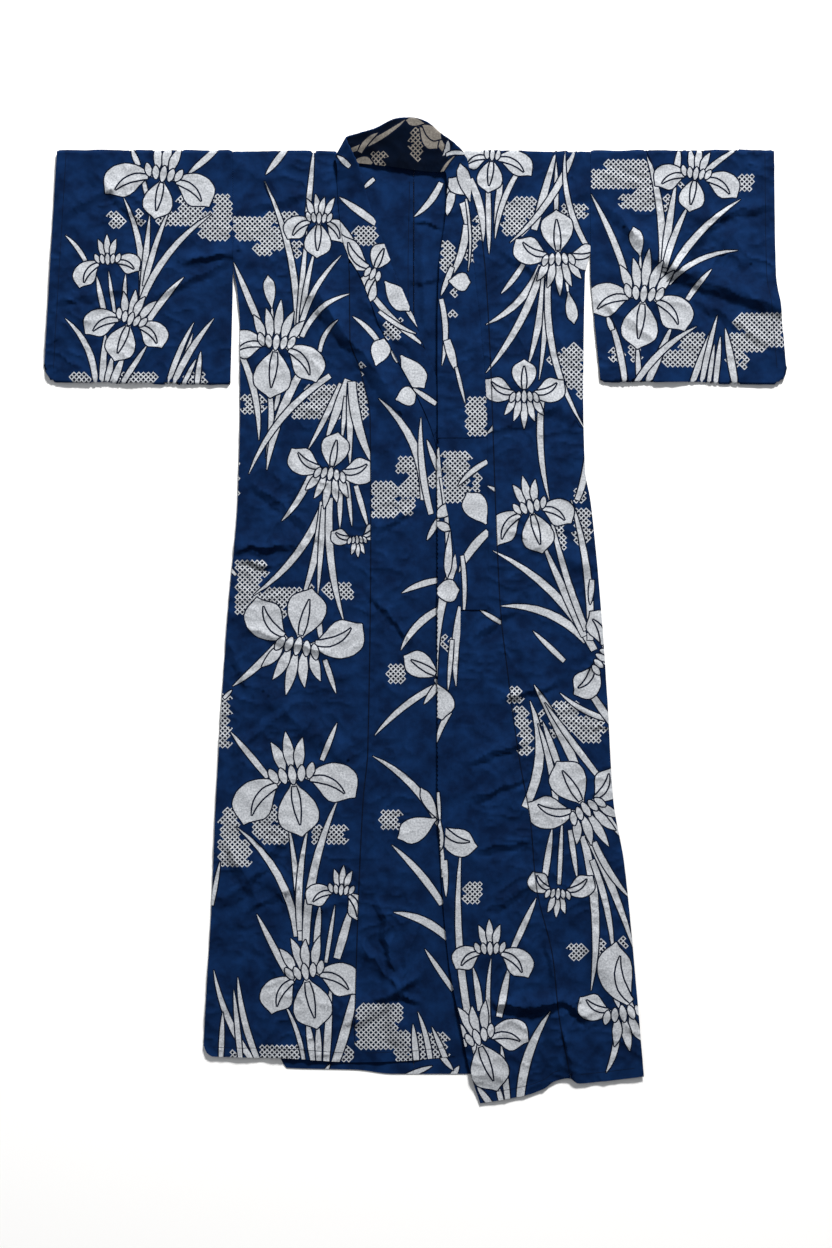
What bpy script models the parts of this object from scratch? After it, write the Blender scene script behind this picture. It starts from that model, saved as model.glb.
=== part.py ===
"""Cotton yukata robe laid flat, front side up.

Metres. +X is to the viewer's right, +Y towards the collar, +Z up from the table.
Right and left are the wearer's own, so the wearer's right side lies at -X.
The origin is under the middle of the garment, on the table.
"""
import math
from collections import namedtuple

import bmesh
import bpy
from mathutils import Vector

# Cloth and how it is stacked
CLOTH = 0.0012
SEAM_GAP = 0.0003
PITCH = CLOTH + SEAM_GAP
BAND = 0.0010
SLEEVE_AIR = 0.0010
SHOULDER_AIR = 0.0022
SHOULDER_PUFF_REACH = 0.070
COLLAR_REACH = 0.140
COLLAR_CLEARANCE = 0.050

# Driving sizes, as measured on the laid garment
SHOULDER_Y = 0.780
CENTRE_SEAM_X = -0.003
NECK_RIGHT_X = -0.133
NECK_LEFT_X = 0.083
SLEEVE_CORNER = 0.026
SLEEVE_FOOT_LEVEL = 0.398
FLAP_LEFT_OF_X = 0.137
FLAP_SETTLES_X = 0.200
BACK_HEM_Y = -0.785
HANG_OVER = 0.026
COVERED_FROM_X = -0.020
COVERED_OVER = 0.040
RIGHT_SEAM_START = 0.004
LEFT_SEAM_START = 0.002
NARROWEST_STRIP = 0.003

# Mesh steps
LENGTH_STEPS = 60
BACK_STEPS = 6
RIGHT_FRONT_COLUMNS = 10
LEFT_FRONT_COLUMNS = 9
OVERLAP_COLUMNS = 9
STRIP_COLUMNS = 3
SLEEVE_COLUMNS = 15
SLEEVE_ROWS = 18
FOLD_STEPS = 4
EDGE_ROUNDS = 6
BAND_ROWS_BETWEEN = 3
BAND_COLUMNS = 4

Place = namedtuple("Place", "y x")
Hem = namedtuple("Hem", "x y")
Section = namedtuple("Section", "seam_x seam_y free_x free_y seam_z free_z")
Fold = namedtuple("Fold", "x0 y0 x1 y1 reach height")
Run = namedtuple("Run", "seam_y free_x free_y free_rise")

# Edges of the body, from the shoulder down to the hem
RIGHT_SIDE = [Place(0.780, -0.310), Place(0.590, -0.310), Place(0.547, -0.303), Place(0.479, -0.298),
              Place(0.360, -0.298), Place(0.190, -0.302), Place(0.020, -0.317), Place(-0.150, -0.329),
              Place(-0.320, -0.339), Place(-0.490, -0.346), Place(-0.660, -0.356), Place(-0.738, -0.360)]
LEFT_SIDE = [Place(0.780, 0.297), Place(0.615, 0.297), Place(0.573, 0.288), Place(0.360, 0.285),
             Place(0.241, 0.288), Place(0.190, 0.297), Place(0.020, 0.314), Place(-0.150, 0.326),
             Place(-0.320, 0.336), Place(-0.423, 0.354), Place(-0.636, 0.375), Place(-0.789, 0.388)]

# Inner edges of the two fronts: neckline first, then the seam to the overlap panel
RIGHT_FRONT_EDGE = [Place(0.780, -0.134), Place(0.706, -0.132), Place(0.629, -0.123), Place(0.598, -0.113),
                    Place(0.462, -0.111), Place(0.411, -0.094), Place(0.325, -0.077), Place(0.139, -0.076),
                    Place(-0.235, -0.081), Place(-0.320, -0.089), Place(-0.547, -0.099), Place(-0.765, -0.105)]
LEFT_FRONT_EDGE = [Place(0.780, 0.083), Place(0.706, 0.090), Place(0.666, 0.108), Place(0.530, 0.122),
                   Place(0.007, 0.144), Place(-0.099, 0.156), Place(-0.248, 0.176), Place(-0.354, 0.195),
                   Place(-0.464, 0.205), Place(-0.592, 0.234), Place(-0.675, 0.242), Place(-0.795, 0.264)]

# Front edges of the overlap panels: collar seam first, then the free edge or fold
RIGHT_OVERLAP_EDGE = [Place(0.598, -0.111), Place(0.568, -0.093), Place(0.524, -0.076), Place(0.496, -0.065),
                      Place(0.275, 0.036), Place(0.007, 0.062), Place(-0.405, 0.062), Place(-0.762, 0.067)]
LEFT_OVERLAP_EDGE = [Place(0.666, 0.066), Place(0.588, 0.042), Place(0.479, 0.037), Place(-0.320, 0.037),
                     Place(-0.422, 0.043), Place(-0.495, 0.047), Place(-0.597, 0.057), Place(-0.697, 0.076),
                     Place(-0.782, 0.093), Place(-0.835, 0.110)]
TURNED_STRIP_EDGE = [Place(0.300, 0.038), Place(0.212, 0.0465), Place(0.092, 0.0685), Place(0.005, 0.0765),
                     Place(-0.150, 0.071), Place(-0.320, 0.055), Place(-0.456, 0.046)]
STRIP_TOP_Y = 0.292
STRIP_BOTTOM_Y = -0.450

# Hems, from the wearer's right to the left
RIGHT_HEM = [Hem(-0.360, -0.736), Hem(-0.354, -0.749), Hem(-0.344, -0.755), Hem(-0.222, -0.758),
             Hem(-0.101, -0.765), Hem(-0.026, -0.763), Hem(0.067, -0.755)]
LEFT_HEM = [Hem(0.110, -0.835), Hem(0.188, -0.821), Hem(0.220, -0.809), Hem(0.237, -0.797),
            Hem(0.261, -0.792), Hem(0.276, -0.801), Hem(0.322, -0.797), Hem(0.388, -0.789)]
BACK_HEM = [Hem(-0.360, -0.738), Hem(-0.344, -0.751), Hem(-0.236, -0.752), Hem(-0.218, -0.775),
            Hem(-0.101, -0.778), Hem(-0.038, -0.785), Hem(0.388, -0.785)]
BACK_NECKLINE = [Hem(-0.133, 0.7615), Hem(-0.076, 0.757), Hem(-0.003, 0.747), Hem(0.042, 0.7435), Hem(0.083, 0.750)]

# Sleeve ends and lower edges
RIGHT_CUFF = [Place(0.780, -0.609), Place(0.581, -0.621), Place(0.398, -0.6315)]
RIGHT_ARMHOLE = [Place(0.780, -0.3103), Place(0.590, -0.3103), Place(0.389, -0.3145)]
LEFT_CUFF = [Place(0.780, 0.609), Place(0.576, 0.612), Place(0.520, 0.620), Place(0.398, 0.6315)]
LEFT_ARMHOLE = [Place(0.780, 0.2973), Place(0.581, 0.2973), Place(0.507, 0.303), Place(0.396, 0.314)]
RIGHT_SLEEVE_FOOT = [Hem(-0.632, 0.393), Hem(-0.314, 0.389)]
LEFT_SLEEVE_FOOT = [Hem(0.314, 0.394), Hem(0.484, 0.391), Hem(0.632, 0.389)]

# Collar band at the middle of its wall. On the fronts its sewn edge follows the panels,
# and these rows give the free edge that belongs to each place of that edge.
UNDER_Z = CLOTH + SEAM_GAP + BAND + SEAM_GAP + BAND / 2
OVER_Z = 0.0088
RIGHT_RUN = [
    Run(0.010, 0.112, 0.007, 0.0), Run(0.100, 0.105, 0.105, 0.0), Run(0.200, 0.090, 0.215, 0.0),
    Run(0.276, 0.066, 0.308, 0.0), Run(0.341, 0.040, 0.386, 0.0), Run(0.420, 0.014, 0.450, 0.0),
    Run(0.497, -0.011, 0.517, 0.0), Run(0.568, -0.038, 0.581, 0.0), Run(0.605, -0.060, 0.640, 0.0015),
    Run(0.635, -0.073, 0.674, 0.0030), Run(0.700, -0.085, 0.712, 0.0060), Run(0.738, -0.094, 0.748, 0.0130),
]
LEFT_RUN = [
    Run(0.720, 0.092, 0.738, 0.0030), Run(0.675, 0.094, 0.675, 0.0), Run(0.629, 0.0955, 0.620, 0.0),
    Run(0.588, 0.099, 0.580, 0.0), Run(0.479, 0.111, 0.472, 0.0), Run(0.360, 0.119, 0.360, 0.0),
    Run(0.156, 0.123, 0.156, 0.0), Run(0.004, 0.122, 0.004, 0.0),
]
LEFT_BAND_EDGE = [Place(0.722, 0.054), Place(0.675, 0.051), Place(0.629, 0.045), Place(0.588, 0.040),
                  Place(0.479, 0.037), Place(0.301, 0.0377)]
RIGHT_RUN_TOP_Y = 0.730
COVER_END_Y = 0.298
NECK_SECTIONS = [
    Section(-0.1325, 0.745, -0.096, 0.755, 0.0095, 0.0175),
    Section(-0.1330, 0.757, -0.106, 0.775, 0.0148, 0.0230),
    Section(-0.1350, 0.7665, -0.1155, 0.794, 0.0140, 0.0285),
    Section(-0.1365, 0.7695, -0.1175, 0.802, 0.0100, 0.0255),
    Section(-0.1335, 0.7690, -0.1125, 0.8050, 0.0063, 0.0222),
    Section(-0.1120, 0.7645, -0.0950, 0.8100, 0.0033, 0.0225),
    Section(-0.0760, 0.7605, -0.068, 0.817, 0.0033, 0.0290),
    Section(-0.0350, 0.7555, -0.036, 0.832, 0.0033, 0.0330),
    Section(-0.0030, 0.7505, -0.006, 0.834, 0.0033, 0.0340),
    Section(0.0220, 0.7480, 0.020, 0.827, 0.0033, 0.0320),
    Section(0.0380, 0.7470, 0.042, 0.809, 0.0048, 0.0270),
    Section(0.0470, 0.7480, 0.064, 0.794, 0.0068, 0.0220),
    Section(0.0520, 0.7450, 0.083, 0.774, OVER_Z, 0.0170),
    Section(0.0540, 0.7300, 0.090, 0.753, OVER_Z, 0.0135),
]

# Largest folds of the laid cloth. Each runs from one end to the other.
FOLDS = [
    Fold(0.366, 0.644, 0.443, 0.583, 0.030, 0.0075),
    Fold(0.443, 0.583, 0.620, 0.520, 0.034, 0.0100),
    Fold(0.470, 0.690, 0.560, 0.600, 0.030, 0.0040),
    Fold(-0.187, 0.556, -0.043, 0.360, 0.048, 0.0070),
    Fold(-0.385, 0.598, -0.315, 0.610, 0.022, 0.0040),
    Fold(-0.600, 0.470, -0.500, 0.560, 0.030, 0.0040),
    Fold(-0.300, 0.110, -0.190, 0.118, 0.026, 0.0050),
    Fold(-0.100, -0.690, 0.020, -0.610, 0.032, 0.0070),
    Fold(-0.045, -0.600, -0.035, -0.720, 0.026, 0.0050),
    Fold(-0.240, -0.150, -0.130, -0.240, 0.032, 0.0045),
    Fold(-0.300, -0.420, -0.170, -0.500, 0.032, 0.0045),
    Fold(0.170, -0.668, 0.262, -0.664, 0.028, 0.0065),
    Fold(0.240, -0.690, 0.260, -0.770, 0.044, 0.0060),
    Fold(0.300, -0.560, 0.360, -0.700, 0.034, 0.0050),
    Fold(0.195, 0.120, 0.290, 0.080, 0.030, 0.0045),
    Fold(0.160, 0.400, 0.270, 0.330, 0.032, 0.0045),
    Fold(0.180, -0.060, 0.250, -0.200, 0.034, 0.0045),
    Fold(0.220, 0.690, 0.300, 0.720, 0.028, 0.0035),
]

INDIGO = (0.018, 0.045, 0.150, 1.0)
FADED_INDIGO = (0.024, 0.055, 0.170, 1.0)
COTTON_ROUGHNESS = 0.85


def layer_top(count):
    """Height of the upper face of the given layer when plain walls are stacked."""
    return count * CLOTH + (count - 1) * SEAM_GAP


FRONT_TOP = layer_top(2)
BAND_STACK = 2 * (BAND / 2 + SEAM_GAP + BAND)
CROSSING_TOP = CLOTH + SEAM_GAP + BAND_STACK + SEAM_GAP + CLOTH
STRIP_TOP = CROSSING_TOP + PITCH


def smooth(value):
    value = min(max(value, 0.0), 1.0)
    return value * value * (3.0 - 2.0 * value)


def along(table, key, value):
    """Read a two-column table at one place, joined by smooth monotone pieces."""
    rows = sorted((getattr(row, key), row[1 - row._fields.index(key)]) for row in table)
    places = [row[0] for row in rows]
    values = [row[1] for row in rows]
    if value <= places[0]:
        return values[0]
    if value >= places[-1]:
        return values[-1]
    steps = [b - a for a, b in zip(places, places[1:])]
    slopes = [(b - a) / step for a, b, step in zip(values, values[1:], steps)]
    tangents = [slopes[0]]
    for before, after in zip(slopes, slopes[1:]):
        tangents.append(0.0 if before * after <= 0 else 2 * before * after / (before + after))
    tangents.append(slopes[-1])
    for index, step in enumerate(steps):
        if value <= places[index + 1]:
            t = (value - places[index]) / step
            rise = values[index + 1] - values[index]
            curve = (3 - 2 * t) * t * t * rise
            bend = t * (1 - t) * ((1 - t) * tangents[index] - t * tangents[index + 1]) * step
            return values[index] + curve + bend
    return values[-1]


def fold_height(x, y):
    """Height that the folds add at one place. Each one fades to nothing at its reach."""
    total = 0.0
    for fold in FOLDS:
        run = Vector((fold.x1 - fold.x0, fold.y1 - fold.y0))
        place = Vector((x - fold.x0, y - fold.y0))
        share = min(max(place.dot(run) / run.length_squared, 0.0), 1.0)
        off = (place - run * share).length / fold.reach
        if off < 1.0:
            total += fold.height * (1.0 - off * off) ** 2
    return total


def shoulder_puff(x, y):
    """Air held by the fold at the shoulder, away from the collar that presses on it."""
    near_fold = smooth(1.0 - (SHOULDER_Y - y) / SHOULDER_PUFF_REACH)
    clear = smooth((abs(x) - COLLAR_REACH) / COLLAR_CLEARANCE)
    return SHOULDER_AIR * near_fold * clear


def front_top(x, y):
    """Upper face of the fronts. The wearer's left front lies over the right one."""
    if x < 0.0:
        return FRONT_TOP + shoulder_puff(x, y) + fold_height(x, y)
    over = 1.0 - smooth((x - FLAP_LEFT_OF_X) / (FLAP_SETTLES_X - FLAP_LEFT_OF_X))
    height = FRONT_TOP + (CROSSING_TOP - FRONT_TOP) * over
    drop = smooth((BACK_HEM_Y - y) / HANG_OVER)
    height += (CLOTH + SEAM_GAP - height) * drop
    return height + shoulder_puff(x, y) + fold_height(x, y)


def under_front_top(x, y):
    """Upper face of the right overlap panel, flat where the left front covers it."""
    seen = 1.0 - smooth((x - COVERED_FROM_X) / COVERED_OVER)
    return FRONT_TOP + fold_height(x, y) * seen


def edge_point(edge, hem, share):
    """Point of an edge at a share of the length from the shoulder to the hem."""
    x = along(edge, "y", SHOULDER_Y)
    y = SHOULDER_Y
    for _ in range(EDGE_ROUNDS):
        y = SHOULDER_Y + share * (along(hem, "x", x) - SHOULDER_Y)
        x = along(edge, "y", y)
    return x, y


def span(first, last, steps):
    return [first + (last - first) * index / steps for index in range(steps + 1)]


def front_row(share, outer, inner, hem, outer_shift, inner_shift, columns, top):
    """Points across a front panel at one share of its length."""
    outer_x = edge_point(outer, hem, share)[0] + outer_shift
    inner_x = edge_point(inner, hem, share)[0] + inner_shift
    row = []
    for x in span(outer_x, inner_x, columns):
        y = SHOULDER_Y + share * (along(hem, "x", x) - SHOULDER_Y)
        row.append(Vector((x, y, top(x, y))))
    return row


def make_object(name, rows, material, wall, offset, closed=False):
    """Loft an open sheet through rows of points and give it its wall."""
    mesh = bpy.data.meshes.new(name)
    bm = bmesh.new()
    grid = [[bm.verts.new(point) for point in row] for row in rows]
    pairs = list(zip(grid, grid[1:]))
    if closed:
        pairs.append((grid[-1], grid[0]))
    for low, high in pairs:
        for index in range(min(len(low), len(high)) - 1):
            bm.faces.new((low[index], low[index + 1], high[index + 1], high[index]))
    bmesh.ops.delete(bm, geom=[vert for vert in bm.verts if not vert.link_faces], context="VERTS")
    bm.to_mesh(mesh)
    bm.free()
    mesh.shade_smooth()
    mesh.materials.append(material)
    piece = bpy.data.objects.new(name, mesh)
    collection.objects.link(piece)
    solidify = piece.modifiers.new("Wall", "SOLIDIFY")
    solidify.thickness = wall
    solidify.offset = offset
    solidify.use_even_offset = False
    return piece


def make_material(name, colour):
    material = bpy.data.materials.new(name)
    material.use_nodes = True
    shader = material.node_tree.nodes["Principled BSDF"]
    shader.inputs["Base Color"].default_value = colour
    shader.inputs["Roughness"].default_value = COTTON_ROUGHNESS
    return material


def half_turn(low, high, towards, steps):
    """Points of a fold between a lower and an upper point, bulging along a direction."""
    radius = (high.z - low.z) / 2
    middle = (low + high) / 2
    points = []
    for step in range(1, steps):
        angle = -math.pi / 2 + math.pi * step / steps
        points.append(middle + towards * (radius * math.cos(angle)) + Vector((0, 0, radius * math.sin(angle))))
    return points


def body_panel(name, side, front_edge, hem, neck_x, front_columns, sign, material):
    """One length of cloth from the back hem over the shoulder to the front hem."""
    edge_shift = sign * SEAM_GAP / 2
    centre_x = CENTRE_SEAM_X + edge_shift
    rows = []
    for share in span(1.0, 0.0, BACK_STEPS):
        side_x = edge_point(side, BACK_HEM, share)[0]
        row = []
        for x in span(side_x, neck_x, front_columns):
            y = SHOULDER_Y + share * (along(BACK_HEM, "x", x) - SHOULDER_Y)
            row.append(Vector((x, y, 0.0)))
        for x in span(neck_x, centre_x, BACK_STEPS)[1:]:
            top_y = along(BACK_NECKLINE, "x", x) - SEAM_GAP / 2
            y = top_y + share * (along(BACK_HEM, "x", x) - top_y)
            row.append(Vector((x, y, 0.0)))
        rows.append(row)
    front_rows = []
    for share in span(0.0, 1.0, LENGTH_STEPS):
        front_rows.append(front_row(share, side, front_edge, hem, 0.0, edge_shift,
                                    front_columns, front_top))
    turns = [half_turn(low, high, Vector((0, 1, 0)), FOLD_STEPS)
             for low, high in zip(rows[-1], front_rows[0])]
    for step in range(FOLD_STEPS - 1):
        rows.append([turn[step] for turn in turns])
    rows.extend(front_rows)
    return make_object(name, orient(rows, sign), material, CLOTH, -1.0)


def orient(rows, sign):
    """Order the rows so that the sheet's faces point out of the garment."""
    return rows if sign > 0 else rows[::-1]


def right_overlap(material):
    """Overlap panel of the right front, which lies underneath."""
    rows = []
    for share in span(0.0, 1.0, LENGTH_STEPS):
        seam_y = edge_point(RIGHT_FRONT_EDGE, RIGHT_HEM, share)[1]
        if seam_y > RIGHT_OVERLAP_EDGE[0].y - RIGHT_SEAM_START:
            continue
        rows.append(front_row(share, RIGHT_FRONT_EDGE, RIGHT_OVERLAP_EDGE, RIGHT_HEM,
                              SEAM_GAP / 2, -SEAM_GAP / 2, OVERLAP_COLUMNS, under_front_top))
    return make_object("overlap_panel_right", rows[::-1], material, CLOTH, -1.0)


def left_overlap(material):
    """Overlap panel of the left front, with its edge turned back over it as a strip."""
    rows = []
    for share in span(0.0, 1.0, LENGTH_STEPS):
        seam_y = edge_point(LEFT_FRONT_EDGE, LEFT_HEM, share)[1]
        if seam_y > LEFT_OVERLAP_EDGE[0].y - LEFT_SEAM_START:
            continue
        row = front_row(share, LEFT_FRONT_EDGE, LEFT_OVERLAP_EDGE, LEFT_HEM,
                        -SEAM_GAP / 2, 0.0, OVERLAP_COLUMNS, front_top)
        fold = row[-1]
        if STRIP_BOTTOM_Y < fold.y < STRIP_TOP_Y:
            upper = Vector((fold.x, fold.y, STRIP_TOP + fold_height(fold.x, fold.y)))
            row.extend(half_turn(fold, upper, Vector((-1, 0, 0)), FOLD_STEPS))
            strip_x = along(TURNED_STRIP_EDGE, "y", fold.y) - SEAM_GAP / 2
            for x in span(fold.x, max(strip_x, fold.x + NARROWEST_STRIP), STRIP_COLUMNS):
                row.append(Vector((x, fold.y, upper.z)))
        rows.append(row)
    return make_object("overlap_panel_left", rows, material, CLOTH, -1.0)


def sleeve(name, armhole, cuff, foot, sign, material):
    """Flattened tube, folded at the shoulder, open at the armhole and the cuff."""
    columns = span(0.0, 1.0, SLEEVE_COLUMNS)
    outer_x = along(cuff, "y", SLEEVE_FOOT_LEVEL)
    inner_x = along(armhole, "y", SLEEVE_FOOT_LEVEL)

    def foot_y(share):
        x = inner_x + share * (outer_x - inner_x)
        into_corner = SLEEVE_CORNER - abs(outer_x - x)
        rise = 0.0
        if into_corner > 0:
            rise = SLEEVE_CORNER - math.sqrt(SLEEVE_CORNER ** 2 - into_corner ** 2)
        return along(foot, "x", x) + rise

    def layer(down, upper):
        points = []
        for share in columns:
            low = foot_y(share)
            y = SHOULDER_Y + down * (low - SHOULDER_Y)
            start = along(armhole, "y", y)
            end = along(cuff, "y", y)
            x = start + share * (end - start)
            z = 0.0
            if upper:
                z = FRONT_TOP + SLEEVE_AIR + shoulder_puff(x, y) + fold_height(x, y)
            points.append(Vector((x, y, z)))
        return points

    front = [layer(down, True) for down in span(0.0, 1.0, SLEEVE_ROWS)]
    back = [layer(down, False) for down in span(1.0, 0.0, BACK_STEPS)]
    lower = [half_turn(low, high, Vector((0, -1, 0)), FOLD_STEPS) for low, high in zip(back[0], front[-1])]
    upper = [half_turn(low, high, Vector((0, 1, 0)), FOLD_STEPS) for low, high in zip(back[-1], front[0])]
    rows = list(front)
    for step in reversed(range(FOLD_STEPS - 1)):
        rows.append([turn[step] for turn in lower])
    rows.extend(back)
    for step in range(FOLD_STEPS - 1):
        rows.append([turn[step] for turn in upper])
    return make_object(name, orient(rows, -sign), material, CLOTH, -1.0, closed=True)


def curve_between(before, start, end, after, t):
    """One point of a smooth curve through four, between the middle two."""
    return 0.5 * ((2 * start) + (end - before) * t + (2 * before - 5 * start + 4 * end - after) * t * t
                  + (3 * start - before - 3 * end + after) * t ** 3)


def run_row(run, seam_x, seam_y, base_z):
    """Both edges of the band at one place of a front."""
    ends = []
    for field in ("free_x", "free_y", "free_rise"):
        ends.append(along([Place(row.seam_y, getattr(row, field)) for row in run], "y", seam_y))
    return Vector((seam_x, seam_y, base_z)), Vector((ends[0], ends[1], base_z + ends[2]))


def right_run():
    """Band on the right front, from its hidden lower end up to the neck."""
    pairs = []
    for share in span(1.0, 0.0, LENGTH_STEPS):
        x, y = edge_point(RIGHT_OVERLAP_EDGE, RIGHT_HEM, share)
        if y > RIGHT_OVERLAP_EDGE[0].y:
            x, y = edge_point(RIGHT_FRONT_EDGE, RIGHT_HEM, share)
        if RIGHT_RUN[0].seam_y < y < RIGHT_RUN_TOP_Y:
            pairs.append(run_row(RIGHT_RUN, x + SEAM_GAP, y, UNDER_Z))
    return pairs


def left_run():
    """Band on the left front, turned back over it, from the neck down to its lower end."""
    pairs = []
    for share in span(0.0, 1.0, LENGTH_STEPS):
        y = edge_point(LEFT_OVERLAP_EDGE, LEFT_HEM, share)[1]
        if LEFT_RUN[-1].seam_y < y < LEFT_BAND_EDGE[0].y:
            edge = LEFT_BAND_EDGE if y > STRIP_TOP_Y else TURNED_STRIP_EDGE
            pairs.append(run_row(LEFT_RUN, along(edge, "y", y) + SEAM_GAP, y, OVER_Z))
    return pairs


def neck_run():
    """Band around the neck, where it stands up and turns over."""
    pairs = []
    for index, start in enumerate(NECK_SECTIONS[:-1]):
        before = Section(*NECK_SECTIONS[max(index - 1, 0)])
        end = NECK_SECTIONS[index + 1]
        after = NECK_SECTIONS[min(index + 2, len(NECK_SECTIONS) - 1)]
        for part in range(BAND_ROWS_BETWEEN):
            t = part / BAND_ROWS_BETWEEN
            values = [curve_between(*fields, t) for fields in zip(before, start, end, after)]
            place = Section(*values)
            pairs.append((Vector((place.seam_x, place.seam_y, place.seam_z)),
                          Vector((place.free_x, place.free_y, place.free_z))))
    return pairs


def band_grid():
    """Middle of the collar band's wall: rows across it, all along it."""
    pairs = right_run() + neck_run() + left_run()
    columns = [step / BAND_COLUMNS for step in range(BAND_COLUMNS + 1)]
    return [[seam.lerp(free, share) for share in columns] for seam, free in pairs]


def grid_normals(rows):
    """Direction square to the sheet at each of its points."""
    normals = []
    last = len(rows) - 1
    for k, row in enumerate(rows):
        line = []
        for j in range(len(row)):
            lengthwise = rows[min(k + 1, last)][j] - rows[max(k - 1, 0)][j]
            across = row[min(j + 1, len(row) - 1)] - row[max(j - 1, 0)]
            line.append(across.cross(lengthwise).normalized())
        normals.append(line)
    return normals


def collar_band(material):
    """The long band around the neck and down both fronts."""
    return make_object("collar_band", band_grid(), material, BAND, 0.0)


def collar_cover(material):
    """Second band that wraps the middle of the collar, made from the band's points moved out."""
    rows = band_grid()
    normals = grid_normals(rows)
    reach = BAND / 2 + SEAM_GAP + BAND
    wraps = []
    for row, line in zip(rows, normals):
        if row[0].y < COVER_END_Y:
            continue
        lower = [point - normal * reach for point, normal in zip(row, line)]
        upper = [point + normal * reach for point, normal in zip(row, line)]
        across = (row[-1] - row[-2]).normalized()
        wrap = lower
        for step in range(1, FOLD_STEPS):
            angle = -math.pi / 2 + math.pi * step / FOLD_STEPS
            turn = across * math.cos(angle) + line[-1] * math.sin(angle)
            wrap.append(row[-1] + turn * reach)
        wraps.append(wrap + upper[::-1])
    return make_object("collar_cover", wraps[::-1], material, BAND, -1.0)


for leftover in list(bpy.data.objects):
    bpy.data.objects.remove(leftover)

collection = bpy.data.collections.new("Yukata robe")
bpy.context.scene.collection.children.link(collection)

body_panel("body_panel_right", RIGHT_SIDE, RIGHT_FRONT_EDGE, RIGHT_HEM, NECK_RIGHT_X, RIGHT_FRONT_COLUMNS, -1,
           make_material("Cotton, right body", INDIGO))
body_panel("body_panel_left", LEFT_SIDE, LEFT_FRONT_EDGE, LEFT_HEM, NECK_LEFT_X, LEFT_FRONT_COLUMNS, 1,
           make_material("Cotton, left body", INDIGO))
right_overlap(make_material("Cotton, right overlap", FADED_INDIGO))
left_overlap(make_material("Cotton, left overlap", FADED_INDIGO))
sleeve("sleeve_right", RIGHT_ARMHOLE, RIGHT_CUFF, RIGHT_SLEEVE_FOOT, -1,
       make_material("Cotton, right sleeve", INDIGO))
sleeve("sleeve_left", LEFT_ARMHOLE, LEFT_CUFF, LEFT_SLEEVE_FOOT, 1,
       make_material("Cotton, left sleeve", INDIGO))
collar_band(make_material("Cotton, collar band", FADED_INDIGO))
collar_cover(make_material("Cotton, collar cover", INDIGO))
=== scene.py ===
"""Cotton yukata robe laid flat, seen from straight above. Metres, +Y towards the collar, +Z up.

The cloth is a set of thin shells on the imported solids. Each shell is cut in its own plan, with the
irises, leaves and dotted patches cut into it as areas of their own colour.
"""
import math

import bpy
import numpy as np
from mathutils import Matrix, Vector
from mathutils.geometry import delaunay_2d_cdt
from mathutils.kdtree import KDTree


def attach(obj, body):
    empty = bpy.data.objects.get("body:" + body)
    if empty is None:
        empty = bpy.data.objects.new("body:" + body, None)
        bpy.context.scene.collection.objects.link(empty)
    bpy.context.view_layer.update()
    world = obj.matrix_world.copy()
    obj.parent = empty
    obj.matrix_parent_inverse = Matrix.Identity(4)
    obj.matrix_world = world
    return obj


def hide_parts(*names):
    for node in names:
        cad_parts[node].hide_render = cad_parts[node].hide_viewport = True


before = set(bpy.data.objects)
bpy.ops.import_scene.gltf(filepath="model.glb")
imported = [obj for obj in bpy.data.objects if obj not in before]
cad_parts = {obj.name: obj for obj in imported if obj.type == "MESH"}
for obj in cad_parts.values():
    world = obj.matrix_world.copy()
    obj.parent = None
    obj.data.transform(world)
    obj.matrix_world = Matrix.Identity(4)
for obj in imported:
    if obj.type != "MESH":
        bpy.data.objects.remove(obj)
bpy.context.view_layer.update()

# Photo scale: where a pixel lies on the table
PHOTO_WIDTH = 832
PHOTO_HEIGHT = 1248
METRES_PER_PIXEL = 0.0017
PHOTO_CENTRE_X = 415.5
PHOTO_CENTRE_Y = 612.0

# Cloth
WALL = 0.0012
GAP = 0.0003
PITCH = WALL + GAP
BAND = 0.0010
THIN = 0.0008
SLEEVE_AIR = 0.0010
SHOULDER_AIR = 0.0022
PUFF_REACH = 0.070
COLLAR_REACH = 0.140
COLLAR_CLEARANCE = 0.050
SHOULDER_Y = 0.780
CENTRE_SEAM_X = -0.003
FRONT_TOP = 2 * WALL + GAP
BAND_STACK = 2 * (BAND / 2 + GAP + BAND)
CROSSING_TOP = WALL + GAP + BAND_STACK + GAP + WALL
STRIP_TOP = CROSSING_TOP + PITCH
FLAP_LEFT_OF_X = 0.137
FLAP_SETTLES_X = 0.200
BACK_HEM_Y = -0.785
HANG_OVER = 0.026
COVERED_FROM_X = -0.020
COVERED_OVER = 0.040
BACK_SHARE = 0.4
BACK_RELIEF = 0.0060
BACK_COVERED = 0.10
BACK_SEEN_FROM_Y = 0.16
BACK_SEEN_OVER = 0.08
SLEEVE_CORNER = 0.026
SLEEVE_FOOT_LEVEL = 0.398
UNDER_Z = WALL + GAP + BAND + GAP + BAND / 2
OVER_Z = 0.0088
COVER_REACH = BAND / 2 + GAP + BAND
UNDER_COLLAR = 0.009

# Mesh
GRID = 0.0045
COARSE_GRID = 0.009
BAND_GRID = 0.006
SLIVER = 2e-8
TINY = 1e-12
EDGE_STEP = 0.005
LOOP_STEP = 0.0005
CLEAR_OF_EDGE = 0.0025
ROW_SHARE = 0.87
SEAM_DIP = 0.0004
SEAM_DIP_REACH = 0.0022
OUTLINE = 0.0024
VEIN_LINE = 0.0029
STITCH = 0.0009
SEAM_EDGE = 0.0007
ALLOWANCE = 0.0085
SEAM_WANDER = 0.0012
SEAM_WAVES = 19.0
HEM_DEPTH = 0.016
BAKE_STRIP = 0.004
BAKE_GAP = 0.010

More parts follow.
